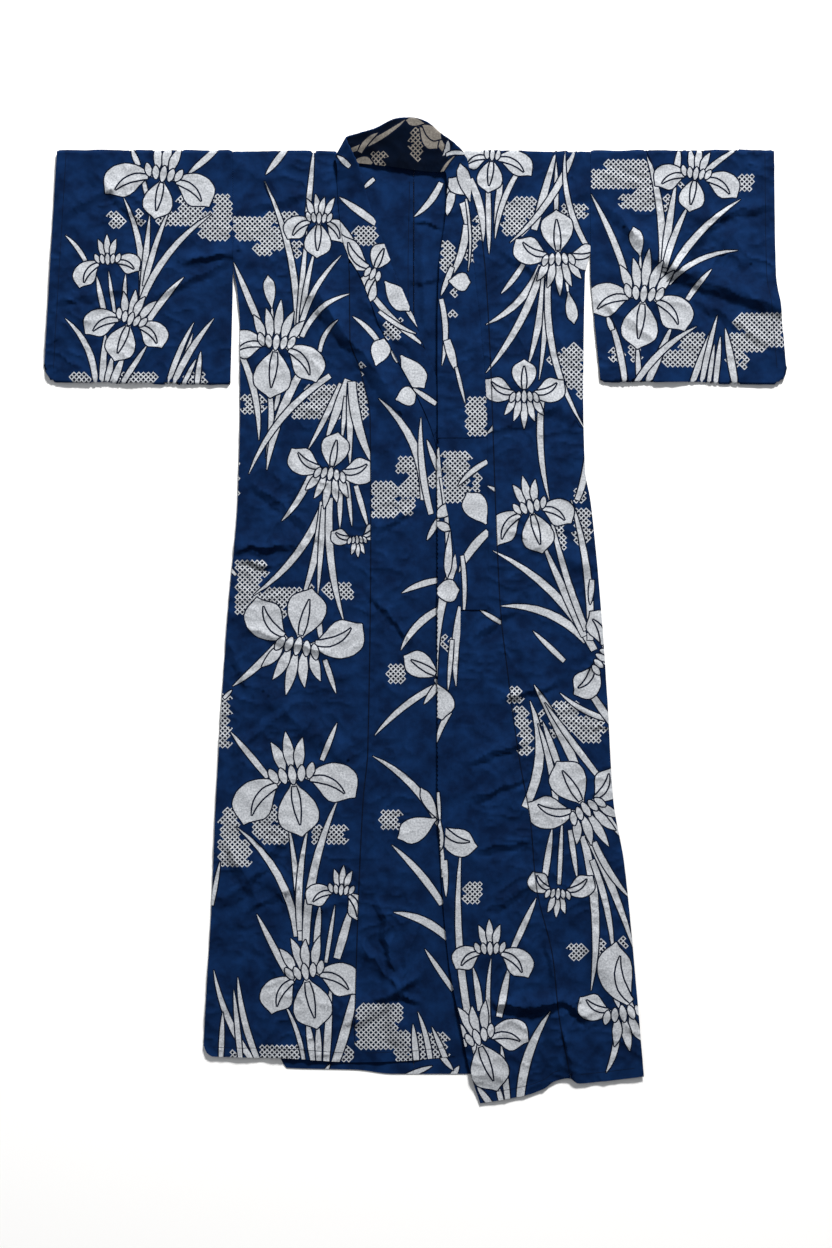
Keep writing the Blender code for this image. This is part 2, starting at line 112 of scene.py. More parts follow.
# Creases: features' sizes and heights
WARP, WARP_SIZE = 0.014, 0.07
WIDE_HEIGHT, WIDE_SIZE = 0.0030, 0.075
MIDDLE_HEIGHT, MIDDLE_SIZE = 0.0032, 0.034
SMALL_HEIGHT, SMALL_SIZE = 0.0005, 0.012
SWELL_HEIGHT, SWELL_SIZE = 0.0018, 0.16
STRENGTH_SIZE = 0.13
WOBBLE, WOBBLE_SIZE = 0.006, 0.03
CREASE_RISE = 4.0
STEEP_SIDE = 0.72

# Colour numbers. The last three are painted shade: the indigo, print and dots of the collar's inner face at
# the nape, darkened for the shade it lies in
INDIGO, WHITE, DOTTED, LINE, SHADE_PAINTED_INDIGO, SHADE_PAINTED_PRINT, SHADE_PAINTED_PRINT_DOTTED = range(7)

# Edges, each a height on the table and how far across the edge lies there
RIGHT_SIDE = [
    (0.78, -0.31), (0.59, -0.31), (0.547, -0.303), (0.479, -0.298), (0.36, -0.298), (0.19, -0.302),
    (0.02, -0.317), (-0.15, -0.329), (-0.32, -0.339), (-0.49, -0.346), (-0.66, -0.356), (-0.738, -0.36),
]
LEFT_SIDE = [
    (0.78, 0.297), (0.615, 0.297), (0.573, 0.288), (0.36, 0.285), (0.241, 0.288), (0.19, 0.297),
    (0.02, 0.314), (-0.15, 0.326), (-0.32, 0.336), (-0.423, 0.354), (-0.636, 0.375), (-0.789, 0.388),
]
RIGHT_FRONT_EDGE = [
    (0.78, -0.134), (0.706, -0.132), (0.629, -0.123), (0.598, -0.113), (0.462, -0.111), (0.411, -0.094),
    (0.325, -0.077), (0.139, -0.076), (-0.235, -0.081), (-0.32, -0.089), (-0.547, -0.099),
    (-0.765, -0.105),
]
LEFT_FRONT_EDGE = [
    (0.78, 0.083), (0.706, 0.09), (0.666, 0.108), (0.53, 0.122), (0.007, 0.144), (-0.099, 0.156),
    (-0.248, 0.176), (-0.354, 0.195), (-0.464, 0.205), (-0.592, 0.234), (-0.675, 0.242), (-0.795, 0.264),
]
RIGHT_OVERLAP_EDGE = [
    (0.598, -0.111), (0.568, -0.093), (0.524, -0.076), (0.496, -0.065), (0.275, 0.036), (0.007, 0.062),
    (-0.405, 0.062), (-0.762, 0.067),
]
LEFT_OVERLAP_EDGE = [
    (0.666, 0.066), (0.588, 0.042), (0.479, 0.037), (-0.32, 0.037), (-0.422, 0.043), (-0.495, 0.047),
    (-0.597, 0.057), (-0.697, 0.076), (-0.782, 0.093), (-0.835, 0.11),
]
STRIP_EDGE = [
    (0.3, 0.038), (0.212, 0.0465), (0.092, 0.0685), (0.005, 0.0765), (-0.15, 0.071), (-0.32, 0.055),
    (-0.456, 0.046),
]
RIGHT_OVERLAP_TOP_Y = 0.592
LEFT_OVERLAP_TOP_Y = 0.700
RIGHT_SEAM = (0.580, -0.740)
LEFT_SEAM = (0.650, -0.780)
RIGHT_HEM_SEAM = (-0.085, 0.050)
LEFT_HEM_SEAM = (0.125, 0.245)
STRIP_TOP_Y = 0.292
STRIP_BOTTOM_Y = -0.450

# Hems, each a place across and how high the hem lies there
RIGHT_HEM = [
    (-0.36, -0.736), (-0.354, -0.749), (-0.344, -0.755), (-0.222, -0.758), (-0.101, -0.765),
    (-0.026, -0.763), (0.067, -0.755),
]
LEFT_HEM = [
    (0.11, -0.835), (0.188, -0.821), (0.22, -0.809), (0.237, -0.797), (0.261, -0.792), (0.276, -0.801),
    (0.322, -0.797), (0.388, -0.789),
]
BACK_HEM = [
    (-0.36, -0.738), (-0.344, -0.751), (-0.236, -0.752), (-0.218, -0.775), (-0.101, -0.778),
    (-0.038, -0.785), (0.388, -0.785),
]
BACK_NECKLINE = [
    (-0.133, 0.7615), (-0.076, 0.757), (-0.003, 0.747), (0.042, 0.7435), (0.083, 0.75),
]

# Sleeves, in the same two ways
RIGHT_CUFF = [
    (0.78, -0.609), (0.581, -0.621), (0.398, -0.6315),
]
RIGHT_ARMHOLE = [
    (0.78, -0.3103), (0.59, -0.3103), (0.389, -0.3145),
]
LEFT_CUFF = [
    (0.78, 0.609), (0.576, 0.612), (0.52, 0.62), (0.398, 0.6315),
]
LEFT_ARMHOLE = [
    (0.78, 0.2973), (0.581, 0.2973), (0.507, 0.303), (0.396, 0.314),
]
RIGHT_SLEEVE_FOOT = [
    (-0.632, 0.393), (-0.314, 0.389),
]
LEFT_SLEEVE_FOOT = [
    (0.314, 0.394), (0.484, 0.391), (0.632, 0.389),
]

# Collar band down a front: height of its seam, then free edge across, up and lifted
RIGHT_RUN = [
    (0.01, 0.112, 0.007, 0.0), (0.1, 0.105, 0.105, 0.0), (0.2, 0.09, 0.215, 0.0),
    (0.276, 0.066, 0.308, 0.0), (0.341, 0.04, 0.386, 0.0), (0.42, 0.014, 0.45, 0.0),
    (0.497, -0.011, 0.517, 0.0), (0.568, -0.038, 0.581, 0.0), (0.605, -0.06, 0.64, 0.0015),
    (0.635, -0.073, 0.674, 0.003), (0.7, -0.085, 0.712, 0.006), (0.738, -0.094, 0.748, 0.013),
]
LEFT_RUN = [
    (0.72, 0.092, 0.738, 0.003), (0.675, 0.094, 0.675, 0.0), (0.629, 0.0955, 0.62, 0.0),
    (0.588, 0.099, 0.58, 0.0), (0.479, 0.111, 0.472, 0.0), (0.36, 0.119, 0.36, 0.0),
    (0.156, 0.123, 0.156, 0.0), (0.004, 0.122, 0.004, 0.0),
]
LEFT_BAND_EDGE = [
    (0.722, 0.054), (0.675, 0.051), (0.629, 0.045), (0.588, 0.04), (0.479, 0.037), (0.301, 0.0377),
]
RIGHT_RUN_TOP_Y = 0.730
COVER_END_Y = 0.298
# Collar around the neck: seam across and up, free edge across and up, seam and free edge lifted
NECK_SECTIONS = [
    (-0.1325, 0.745, -0.096, 0.755, 0.0095, 0.0175), (-0.133, 0.757, -0.106, 0.775, 0.0148, 0.023),
    (-0.135, 0.7665, -0.1155, 0.794, 0.014, 0.0285), (-0.1365, 0.7695, -0.1175, 0.802, 0.01, 0.0255),
    (-0.1335, 0.769, -0.1125, 0.805, 0.0063, 0.0222), (-0.112, 0.7645, -0.095, 0.81, 0.0033, 0.0225),
    (-0.076, 0.7605, -0.068, 0.817, 0.0033, 0.029), (-0.035, 0.7555, -0.036, 0.832, 0.0033, 0.033),
    (-0.003, 0.7505, -0.006, 0.834, 0.0033, 0.034), (0.022, 0.748, 0.02, 0.827, 0.0033, 0.032),
    (0.038, 0.747, 0.042, 0.809, 0.0048, 0.027), (0.047, 0.748, 0.064, 0.794, 0.0068, 0.022),
    (0.052, 0.745, 0.083, 0.774, OVER_Z, 0.017), (0.054, 0.73, 0.09, 0.753, OVER_Z, 0.0135),
]

# Largest folds: both ends, reach and height
FOLDS = [
    (0.366, 0.644, 0.443, 0.583, 0.03, 0.0075), (0.443, 0.583, 0.62, 0.52, 0.034, 0.01),
    (0.47, 0.69, 0.56, 0.6, 0.03, 0.004), (-0.187, 0.556, -0.043, 0.36, 0.048, 0.007),
    (-0.385, 0.598, -0.315, 0.61, 0.022, 0.004), (-0.6, 0.47, -0.5, 0.56, 0.03, 0.004),
    (-0.3, 0.11, -0.19, 0.118, 0.026, 0.005), (-0.1, -0.69, 0.02, -0.61, 0.032, 0.007),
    (-0.045, -0.6, -0.035, -0.72, 0.026, 0.005), (-0.24, -0.15, -0.13, -0.24, 0.032, 0.0045),
    (-0.3, -0.42, -0.17, -0.5, 0.032, 0.0045), (0.17, -0.668, 0.262, -0.664, 0.028, 0.0065),
    (0.24, -0.69, 0.26, -0.77, 0.044, 0.006), (0.3, -0.56, 0.36, -0.7, 0.034, 0.005),
    (0.195, 0.12, 0.29, 0.08, 0.03, 0.0045), (0.16, 0.4, 0.27, 0.33, 0.032, 0.0045),
    (0.18, -0.06, 0.25, -0.2, 0.034, 0.0045), (0.22, 0.69, 0.3, 0.72, 0.028, 0.0035),
]

# Main creases, by the pixel of each end, with the width in pixels and the height in metres
CREASES = [
    (650, 256, 690, 277, 14, 0.0008), (688, 277, 780, 311, 14, 0.0012), (414, 221, 442, 226, 6, 0.0024),
    (408, 281, 442, 278, 6, 0.0018), (420, 250, 428, 330, 8, 0.0022), (60, 215, 130, 180, 11, 0.001),
    (240, 625, 330, 655, 11, 0.0011), (230, 900, 290, 830, 11, 0.0011), (605, 205, 640, 240, 10, 0.0012),
    (700, 218, 772, 205, 9, 0.0012), (690, 250, 735, 200, 10, 0.0012), (700, 300, 770, 345, 10, 0.001),
    (600, 300, 660, 345, 9, 0.0009), (640, 190, 600, 170, 9, 0.0008), (62, 300, 120, 290, 9, 0.001),
    (150, 300, 228, 262, 9, 0.0013), (188, 260, 231, 253, 6, 0.0014), (90, 170, 150, 230, 10, 0.0009),
    (312, 290, 396, 398, 15, 0.0021), (250, 480, 330, 545, 9, 0.0011), (240, 548, 285, 545, 6, 0.0016),
    (240, 560, 275, 566, 6, 0.0013), (290, 500, 255, 560, 9, 0.001), (300, 700, 220, 760, 9, 0.0009),
    (225, 840, 260, 905, 10, 0.001), (250, 905, 310, 880, 8, 0.0009), (370, 590, 420, 650, 8, 0.0012),
    (372, 530, 432, 500, 9, 0.001), (380, 900, 398, 990, 9, 0.0021), (398, 990, 360, 940, 9, 0.0018),
    (398, 990, 440, 960, 9, 0.0018), (398, 990, 425, 905, 9, 0.0016), (398, 992, 455, 1018, 8, 0.0018),
    (370, 1000, 398, 990, 8, 0.0012), (500, 700, 560, 680, 8, 0.0012), (465, 760, 530, 740, 8, 0.0012),
    (470, 800, 535, 770, 8, 0.001), (480, 850, 535, 838, 8, 0.0011), (495, 905, 540, 880, 9, 0.0012),
    (526, 1006, 563, 1000, 9, 0.0024), (494, 1000, 526, 1010, 9, 0.002), (563, 1000, 590, 1020, 8, 0.0018),
    (548, 940, 560, 1000, 7, 0.0012), (566, 1030, 572, 1076, 6, 0.0016), (590, 730, 612, 725, 5, 0.001),
    (500, 430, 560, 405, 9, 0.001), (470, 640, 520, 600, 9, 0.001), (360, 300, 436, 372, 8, 0.001),
    (500, 250, 580, 300, 9, 0.001), (240, 210, 330, 190, 10, 0.0009), (600, 650, 575, 690, 7, 0.001),
    (226, 640, 250, 690, 8, 0.0009),
]

# The print, read by pixel. An iris is its head, the tips of its three falls and its count of standards
IRISES = {
    "sleeve_right": [
        (163, 178, (106, 194), (155, 219), (209, 207), 3), (108, 262, (80, 288), None, (139, 271), 3),
        (130, 322, (86, 334), (115, 361), (162, 348), 4),
    ],
    "front_right": [
        (319, 221, (288, 239), (317, 258), (343, 243), 4),
        (276, 346, (230, 352), (270, 398), (316, 382), 5),
        (331, 471, (292, 449), (338, 433), (374, 463), 5), (357, 538, (332, 532), None, (378, 524), 3),
        (299, 642, (257, 598), (312, 589), (362, 624), 5),
        (293, 779, (244, 824), (302, 836), (355, 797), 3), (341, 892, (308, 903), None, (360, 922), 3),
        (306, 975, (272, 1013), (317, 1028), (357, 993), 4),
    ],
    "overlap_right": [
        (439, 676, (404, 656), None, None, 0),
    ],
    "collar_right": [
        (374, 272, (342, 236), (386, 244), (364, 307), 0),
    ],
    "front_left": [
        (558, 256, (516, 240), (556, 211), (600, 252), 5),
        (524, 394, (485, 380), (524, 360), (563, 381), 5),
        (531, 510, (496, 546), (542, 553), (571, 523), 3), (599, 656, (574, 694), None, (590, 612), 2),
        (584, 806, (528, 803), (557, 762), (613, 767), 5), (558, 891, (533, 872), None, (592, 876), 3),
        (622, 1009, (580, 997), None, (616, 942), 3), (492, 158, (462, 166), (488, 193), (531, 176), 0),
    ],
    "overlap_left": [
        (524, 394, (485, 380), (524, 360), (563, 381), 5), (490, 951, (456, 968), None, (528, 977), 3),
        (478, 1040, (528, 1041), (497, 1090), None, 4), (438, 828, (477, 846), None, None, 0),
        (558, 891, (533, 872), None, (592, 876), 3),
    ],
    "sleeve_left": [
        (695, 177, (655, 186), (689, 212), (736, 198), 3),
        (643, 298, (588, 312), (637, 349), (684, 331), 5),
    ],
}

# Single buds and petals: foot, tip and width
BUDS = {
    "front_right": [
        (272, 308, 268, 276, 11),
    ],
    "front_left": [
        (568, 293, 574, 324, 11),
    ],
    "sleeve_left": [
        (640, 256, 633, 228, 13),
    ],
    "overlap_right": [
        (376, 366, 384, 339, 19), (396, 400, 416, 394, 19), (438, 819, 421, 788, 10),
        (436, 819, 398, 838, 24),
    ],
    "collar_right": [
        (385, 282, 409, 311, 20), (401, 356, 424, 388, 22),
    ],
    "strip": [
        (450, 532, 447, 578, 7), (434, 592, 459, 590, 22), (434, 682, 442, 719, 31),
        (434, 518, 452, 506, 11), (434, 522, 450, 530, 8), (440, 820, 438, 853, 9),
    ],
    "collar_left": [
        (486, 524, 467, 493, 24), (467, 196, 449, 180, 15), (470, 202, 460, 165, 12),
        (449, 282, 470, 283, 18),
    ],
    "collar_inner": [
        (351, 163, 373, 163, 12), (420, 130, 437, 150, 15), (422, 127, 441, 141, 12),
        (424, 126, 406, 123, 8),
    ],
}

# Leaves and stems: foot, tip, bend and width
BLADES = {
    "sleeve_right": [
        (139, 166, 132, 150, 0, 5), (147, 196, 143, 176, 0, 4), (216, 151, 188, 175, 0, 6),
        (141, 304, 124, 198, -8, 6), (142, 304, 150, 216, 0, 6), (145, 286, 169, 212, 2, 5),
        (141, 304, 211, 215, 9, 6), (115, 314, 109, 272, 0, 3), (105, 314, 97, 277, 0, 5),
        (87, 264, 66, 236, -2, 4), (124, 314, 126, 275, 0, 4), (149, 321, 184, 278, 2, 6),
        (96, 386, 66, 319, -8, 6), (102, 386, 106, 333, 0, 6), (107, 386, 113, 356, 0, 6),
        (112, 386, 124, 356, 0, 7), (121, 386, 147, 346, 0, 5), (168, 386, 194, 323, 2, 5),
        (182, 367, 193, 334, 0, 3), (173, 386, 214, 319, 3, 6), (197, 386, 201, 352, 0, 5),
        (183, 386, 196, 360, 0, 4),
    ],
    "front_right": [
        (286, 150, 266, 175, 0, 6), (297, 338, 265, 182, -10, 6), (307, 222, 314, 150, 0, 5),
        (298, 332, 307, 230, 0, 5), (301, 332, 315, 250, 2, 5), (262, 330, 234, 263, 0, 6),
        (300, 330, 341, 256, 6, 5), (302, 337, 350, 294, 8, 5), (320, 352, 338, 321, 4, 4),
        (273, 334, 272, 305, 0, 2.5), (242, 356, 259, 440, 5, 6), (270, 394, 266, 458, 3, 5),
        (300, 374, 267, 470, -5, 8), (330, 376, 249, 474, -10, 6), (279, 394, 275, 411, 0, 4),
        (341, 384, 308, 450, 1, 5), (348, 380, 326, 441, 0, 8), (346, 397, 342, 440, 0, 4),
        (350, 384, 350, 466, 0, 6), (352, 382, 374, 466, -5, 9), (312, 472, 282, 521, 3, 6),
        (325, 500, 254, 595, 10, 7), (323, 502, 301, 602, 4, 7), (324, 506, 318, 594, 0, 5),
        (330, 498, 344, 622, -6, 7), (340, 480, 340, 528, 0, 5), (347, 480, 352, 526, 0, 4),
        (356, 486, 368, 527, 0, 5), (277, 645, 233, 686, 2, 7), (319, 620, 321, 642, 0, 5),
        (325, 660, 336, 693, 0, 5), (268, 777, 231, 732, 0, 6), (322, 760, 337, 723, 0, 5),
        (297, 936, 237, 827, -13, 7), (301, 940, 289, 826, -2, 6), (300, 930, 308, 828, 4, 6),
        (306, 944, 338, 799, 8, 8), (287, 973, 257, 914, 0, 6), (316, 946, 320, 905, 0, 6),
        (326, 962, 335, 905, 0, 3.5), (337, 958, 353, 902, 0, 8), (254, 1062, 214, 970, 6, 6),
        (221, 1062, 223, 1012, 0, 5), (241, 1062, 234, 990, 0, 5), (259, 1062, 238, 977, 4, 6),
        (304, 1062, 285, 1004, -3, 4), (314, 1062, 307, 1018, 0, 7), (319, 1062, 318, 1022, 0, 6),
        (326, 1066, 331, 984, 0, 7), (334, 1066, 357, 978, -2, 9), (236, 575, 226, 564, 0, 3),
        (224, 698, 232, 690, 0, 3), (212, 905, 220, 862, 0, 4),
    ],
    "overlap_right": [
        (424, 500, 379, 399, -13, 8), (431, 514, 421, 418, 4, 6), (438, 470, 427, 440, 0, 5),
        (440, 580, 402, 593, -2, 6), (440, 609, 401, 650, -5, 7), (436, 686, 375, 735, -4, 6),
        (440, 682, 424, 704, 0, 6), (439, 824, 373, 756, -8, 7), (442, 904, 392, 845, -3, 7),
        (448, 938, 394, 912, -5, 8), (453, 990, 425, 949, 0, 5), (417, 1066, 413, 1024, 0, 6),
        (431, 1066, 418, 1012, -2, 5), (450, 1068, 432, 1027, 0, 5), (379, 343, 353, 317, -2, 5),
        (398, 362, 391, 350, 0, 4), (438, 520, 427, 540, 0, 5),
    ],
    "collar_right": [
        (350, 168, 338, 157, 0, 5), (376, 224, 340, 198, 0, 7), (352, 242, 333, 216, 0, 6),
        (374, 298, 426, 347, -3, 6), (379, 312, 416, 334, -2, 4), (381, 343, 353, 317, -2, 5),
        (436, 404, 412, 388, 0, 5), (404, 305, 420, 330, 0, 4),
    ],
    "collar_left": [
        (449, 186, 441, 203, 0, 6), (452, 194, 447, 216, 0, 8), (462, 204, 466, 230, 2, 7),
        (466, 226, 449, 279, 4, 7), (466, 200, 468, 272, 3, 2), (452, 268, 441, 296, 0, 5),
        (449, 151, 456, 142, 0, 5), (450, 152, 467, 156, 0, 4), (441, 300, 442, 366, 4, 5),
        (447, 341, 456, 372, 0, 8), (456, 368, 465, 404, 0, 3), (487, 462, 458, 486, -2, 5),
        (488, 532, 459, 572, -3, 8), (462, 556, 463, 620, 2, 4),
    ],
    "collar_inner": [
        (352, 151, 406, 122, -3, 5), (360, 153, 378, 135, 2, 5), (438, 139, 453, 157, -3, 6),
        (438, 181, 455, 157, 2, 3),
    ],
    "strip": [
        (439, 448, 435, 532, 3, 8), (441, 478, 446, 560, 3, 4), (458, 556, 437, 676, -8, 8),
        (461, 607, 456, 686, -3, 7), (450, 712, 437, 742, -2, 5), (438, 792, 440, 822, 0, 3),
        (441, 848, 446, 905, 0, 5), (452, 640, 448, 690, 0, 4),
    ],
    "front_left": [
        (534, 230, 556, 151, 0, 7), (556, 216, 556, 163, 0, 4), (574, 150, 510, 243, 8, 6),
        (590, 252, 565, 152, 9, 5), (523, 265, 501, 294, 1, 5), (541, 266, 486, 325, 8, 7),
        (542, 268, 486, 373, 6, 7), (545, 270, 528, 366, 3, 7), (547, 272, 539, 380, 2, 5),
        (549, 272, 585, 430, -14, 6), (566, 276, 568, 296, 0, 2.5), (577, 500, 586, 448, -3, 6),
        (542, 396, 549, 500, -5, 6), (586, 641, 501, 606, -11, 8), (594, 650, 493, 551, -12, 8),
        (584, 636, 541, 540, 0, 7), (586, 630, 550, 514, 3, 6), (590, 640, 571, 500, -6, 7),
        (564, 661, 533, 631, 0, 5), (576, 767, 534, 685, -2, 9), (525, 807, 530, 701, -12, 9),
        (556, 806, 538, 724, -3, 6), (560, 770, 543, 722, 0, 6), (599, 777, 545, 703, 1, 6),
        (611, 720, 560, 693, 4, 5), (612, 724, 583, 682, 0, 7), (544, 882, 552, 828, 0, 6),
        (559, 884, 562, 820, 0, 4), (570, 830, 577, 878, 0, 5), (583, 836, 591, 990, 8, 8),
        (588, 836, 634, 950, 3, 7), (592, 860, 613, 955, 4, 6), (594, 842, 630, 898, -3, 6),
        (598, 804, 624, 840, 0, 6), (612, 984, 619, 1008, 0, 6), (617, 1028, 606, 1072, 3, 6),
        (592, 580, 590, 604, 0, 5), (470, 180, 483, 242, 4, 7), (488, 190, 489, 254, 0, 5),
        (500, 184, 495, 237, 0, 6), (517, 174, 495, 239, -4, 5),
    ],
    "overlap_left": [
        (541, 266, 486, 325, 8, 7), (542, 268, 486, 373, 6, 7), (516, 398, 487, 434, 2, 7),
        (527, 516, 487, 486, -3, 7), (594, 650, 493, 551, -12, 8), (501, 623, 480, 610, 0, 4),
        (525, 807, 530, 701, -12, 9), (476, 1052, 461, 846, 9, 7), (489, 1024, 491, 958, 2, 4),
        (499, 1016, 509, 966, 0, 7), (480, 1010, 473, 967, -1, 6), (513, 948, 536, 898, 0, 6),
        (520, 1102, 550, 1011, 7, 9), (508, 1102, 501, 1044, 0, 6), (492, 1106, 477, 1086, 0, 6),
        (502, 1104, 497, 1084, 0, 5), (445, 860, 446, 896, 0, 5),
    ],
    "sleeve_left": [
        (660, 284, 645, 150, -8, 7), (676, 172, 679, 150, 0, 6), (701, 177, 737, 150, 2, 5),
        (663, 272, 676, 182, 1, 7), (664, 268, 688, 206, 2, 6), (665, 283, 740, 200, 8, 7),
        (668, 284, 737, 251, 8, 5), (687, 300, 711, 270, 1, 5), (628, 284, 591, 195, -3, 6),
        (640, 280, 640, 254, 0, 2.5), (625, 386, 606, 310, -3, 6), (639, 386, 637, 344, 0, 5),
        (646, 386, 672, 325, 0, 7), (634, 386, 696, 327, 6, 6), (691, 386, 711, 331, 0, 6),
        (701, 386, 717, 316, 1, 5), (715, 386, 720, 337, 0, 5), (735, 386, 725, 329, 0, 7),
        (708, 386, 714, 345, 0, 4), (612, 330, 607, 316, 0, 5),
    ],
    "back": [
        (441, 183, 414, 217, 3, 6), (374, 179, 363, 189, 0, 4), (406, 1076, 432, 1066, 0, 5),
        (450, 1080, 459, 1066, 0, 6), (440, 1054, 453, 1070, 0, 5), (318, 1084, 330, 1064, 0, 5),
    ],
}

# Areas of small dots: two opposite corners
PATCHES = {
    "sleeve_right": [
        (109, 214, 124, 226), (134, 212, 146, 224), (154, 214, 232, 223), (178, 197, 204, 214),
        (212, 196, 232, 214), (196, 223, 232, 236), (206, 230, 232, 239), (72, 374, 92, 383),
        (114, 376, 158, 382), (182, 376, 206, 383),
    ],
    "front_right": [
        (231, 218, 272, 230), (264, 215, 302, 222), (233, 228, 285, 238), (262, 234, 287, 250),
        (252, 246, 270, 254), (294, 244, 302, 256), (242, 396, 267, 411), (290, 404, 336, 416),
        (306, 386, 340, 408), (346, 384, 371, 398), (354, 398, 371, 420), (330, 410, 344, 418),
        (232, 462, 240, 504), (236, 563, 268, 576), (236, 574, 262, 600), (236, 596, 256, 612),
        (262, 590, 303, 602), (272, 600, 288, 616), (306, 586, 314, 592), (322, 584, 352, 598),
        (214, 696, 232, 746), (222, 809, 242, 820), (220, 818, 240, 846), (218, 842, 252, 864),
        (250, 818, 270, 838), (262, 828, 290, 842), (266, 808, 278, 820), (312, 826, 326, 842),
        (328, 828, 347, 842), (262, 1047, 302, 1056), (339, 1046, 355, 1060), (228, 1051, 234, 1056),
    ],
    "overlap_right": [
        (371, 483, 400, 516), (398, 458, 420, 470), (408, 466, 424, 494), (398, 484, 420, 496),
        (398, 502, 414, 514), (426, 474, 438, 486), (388, 666, 406, 680), (380, 812, 402, 828),
        (356, 1006, 396, 1046), (372, 1006, 404, 1020), (394, 1032, 412, 1060), (408, 1034, 450, 1060),
        (355, 366, 365, 377),
    ],
    "collar_right": [
        (352, 230, 378, 244), (381, 321, 402, 337),
    ],
    "collar_left": [
        (440, 243, 456, 272), (462, 249, 477, 260), (465, 400, 488, 434), (442, 454, 472, 500),
        (470, 474, 481, 491), (449, 291, 459, 295), (446, 312, 462, 316),
    ],
    "strip": [
        (438, 636, 445, 650), (450, 638, 458, 650),
    ],
    "front_left": [
        (500, 204, 528, 234), (514, 199, 537, 216), (559, 207, 586, 216), (548, 354, 584, 362),
        (560, 350, 584, 378), (568, 346, 582, 362), (558, 374, 582, 386), (576, 386, 584, 398),
        (572, 510, 592, 543), (576, 490, 588, 501), (550, 520, 566, 530), (556, 530, 566, 547),
        (509, 689, 522, 702), (512, 708, 531, 726), (518, 726, 532, 752), (536, 712, 540, 724),
        (552, 704, 582, 722), (564, 718, 608, 730), (574, 728, 600, 740), (548, 712, 556, 736),
        (568, 946, 586, 958), (594, 940, 606, 956), (616, 938, 624, 946),
    ],
    "overlap_left": [
        (460, 884, 480, 902), (509, 689, 522, 702), (518, 726, 532, 752), (474, 216, 480, 240),
        (472, 228, 478, 250),
    ],
    "sleeve_left": [
        (602, 162, 650, 174), (591, 172, 612, 186), (606, 172, 656, 188), (634, 186, 656, 210),
        (620, 198, 640, 208), (662, 198, 672, 210), (734, 178, 752, 190), (610, 349, 624, 361),
        (628, 348, 642, 360), (662, 352, 690, 365), (678, 336, 706, 364), (734, 316, 783, 328),
        (742, 326, 783, 344), (730, 336, 764, 350), (738, 356, 748, 368), (726, 348, 740, 366),
        (676, 184, 684, 188),
    ],
    "collar_inner": [
        (373, 156, 387, 167), (409, 131, 421, 159),
    ],
}

# Share of the full width at places along a shape, from its foot to its tip
BLADE_SHAPE = [(0.0, 0.80), (0.35, 1.0), (0.65, 0.82), (0.86, 0.46), (1.0, 0.03)]
PETAL_SHAPE = [(0.0, 0.06), (0.10, 0.20), (0.24, 0.55), (0.42, 0.88), (0.60, 1.0), (0.76, 0.93), (0.87, 0.62),
               (0.91, 0.36), (0.935, 0.24), (0.965, 0.19), (1.0, 0.02)]
SPINDLE_SHAPE = [(0.0, 0.25), (0.22, 0.70), (0.45, 1.0), (0.72, 0.72), (0.90, 0.30), (1.0, 0.02)]
OVAL_SHAPE = [(0.0, 0.20), (0.18, 0.72), (0.50, 1.0), (0.82, 0.72), (1.0, 0.15)]
VEIN_SHAPE = [(0.0, 0.55), (0.30, 1.0), (0.65, 0.75), (1.0, 0.02)]
DOT_PITCH = 0.0084
DOT_SHARE = 0.335
DOT_ENDS = [(2, 1, 0), (0, 1, 0), (1, 0, 2)]
TURN = 0.006
SHOULDER_END = SHOULDER_Y + TURN
STRIP_TURN = 0.0024


def from_photo(points):
    points = np.asarray(points, float)
    x = (points[..., 0] - PHOTO_CENTRE_X) * METRES_PER_PIXEL
    y = (PHOTO_CENTRE_Y - points[..., 1]) * METRES_PER_PIXEL
    return np.stack([x, y], axis=-1)


def smooth(value):
    value = np.clip(value, 0.0, 1.0)
    return value * value * (3.0 - 2.0 * value)


def stacked(*parts):
    return np.stack(parts, axis=1)


def unit(vectors):
    return vectors / np.maximum(np.linalg.norm(vectors, axis=-1, keepdims=True), TINY)


def along(table, value):
    """Read a two-column table by its first column, joined by smooth monotone pieces."""
    places, values = np.array(sorted(table), float).T
    steps = np.diff(places)
    slopes = np.diff(values) / steps
    product = slopes[:-1] * slopes[1:]
    total = slopes[:-1] + slopes[1:]
    inner = np.where(product > 0, 2 * product / np.where(total == 0, 1.0, total), 0.0)
    tangents = np.concatenate([slopes[:1], inner, slopes[-1:]])
    value = np.clip(np.asarray(value, float), places[0], places[-1])
    index = np.clip(np.searchsorted(places, value, side="right") - 1, 0, len(steps) - 1)
    t = (value - places[index]) / steps[index]
    curve = (3 - 2 * t) * t * t * (values[index + 1] - values[index])
    bend = t * (1 - t) * ((1 - t) * tangents[index] - t * tangents[index + 1]) * steps[index]
    return values[index] + curve + bend


def from_segment(x, y, x0, y0, x1, y1):
    """Distance from a segment, share along it, and the side."""
    run_x, run_y = x1 - x0, y1 - y0
    length = math.hypot(run_x, run_y)
    share = np.clip(((x - x0) * run_x + (y - y0) * run_y) / length ** 2, 0.0, 1.0)
    off_x = x - x0 - share * run_x
    off_y = y - y0 - share * run_y
    side = (off_x * run_y - off_y * run_x) / length
    return np.hypot(off_x, off_y), share, side


def noise(x, y, size, seed):
    """Smooth noise between -1 and 1 with features of about the given size."""
    u, v = x / size, y / size
    iu, iv = np.floor(u), np.floor(v)
    fu, fv = u - iu, v - iv
    total = 0.0
    for du in (0, 1):
        for dv in (0, 1):
            angle = np.sin((iu + du) * 127.1 + (iv + dv) * 311.7 + seed * 74.7) * 43758.5453
            angle = (angle - np.floor(angle)) * 2 * math.pi
            dot = np.cos(angle) * (fu - du) + np.sin(angle) * (fv - dv)
            weight_u = 1 - fade(fu) if du == 0 else fade(fu)
            weight_v = 1 - fade(fv) if dv == 0 else fade(fv)
            total = total + dot * weight_u * weight_v
    return total * 1.5


def fade(t):
    return t * t * t * (t * (t * 6 - 15) + 10)


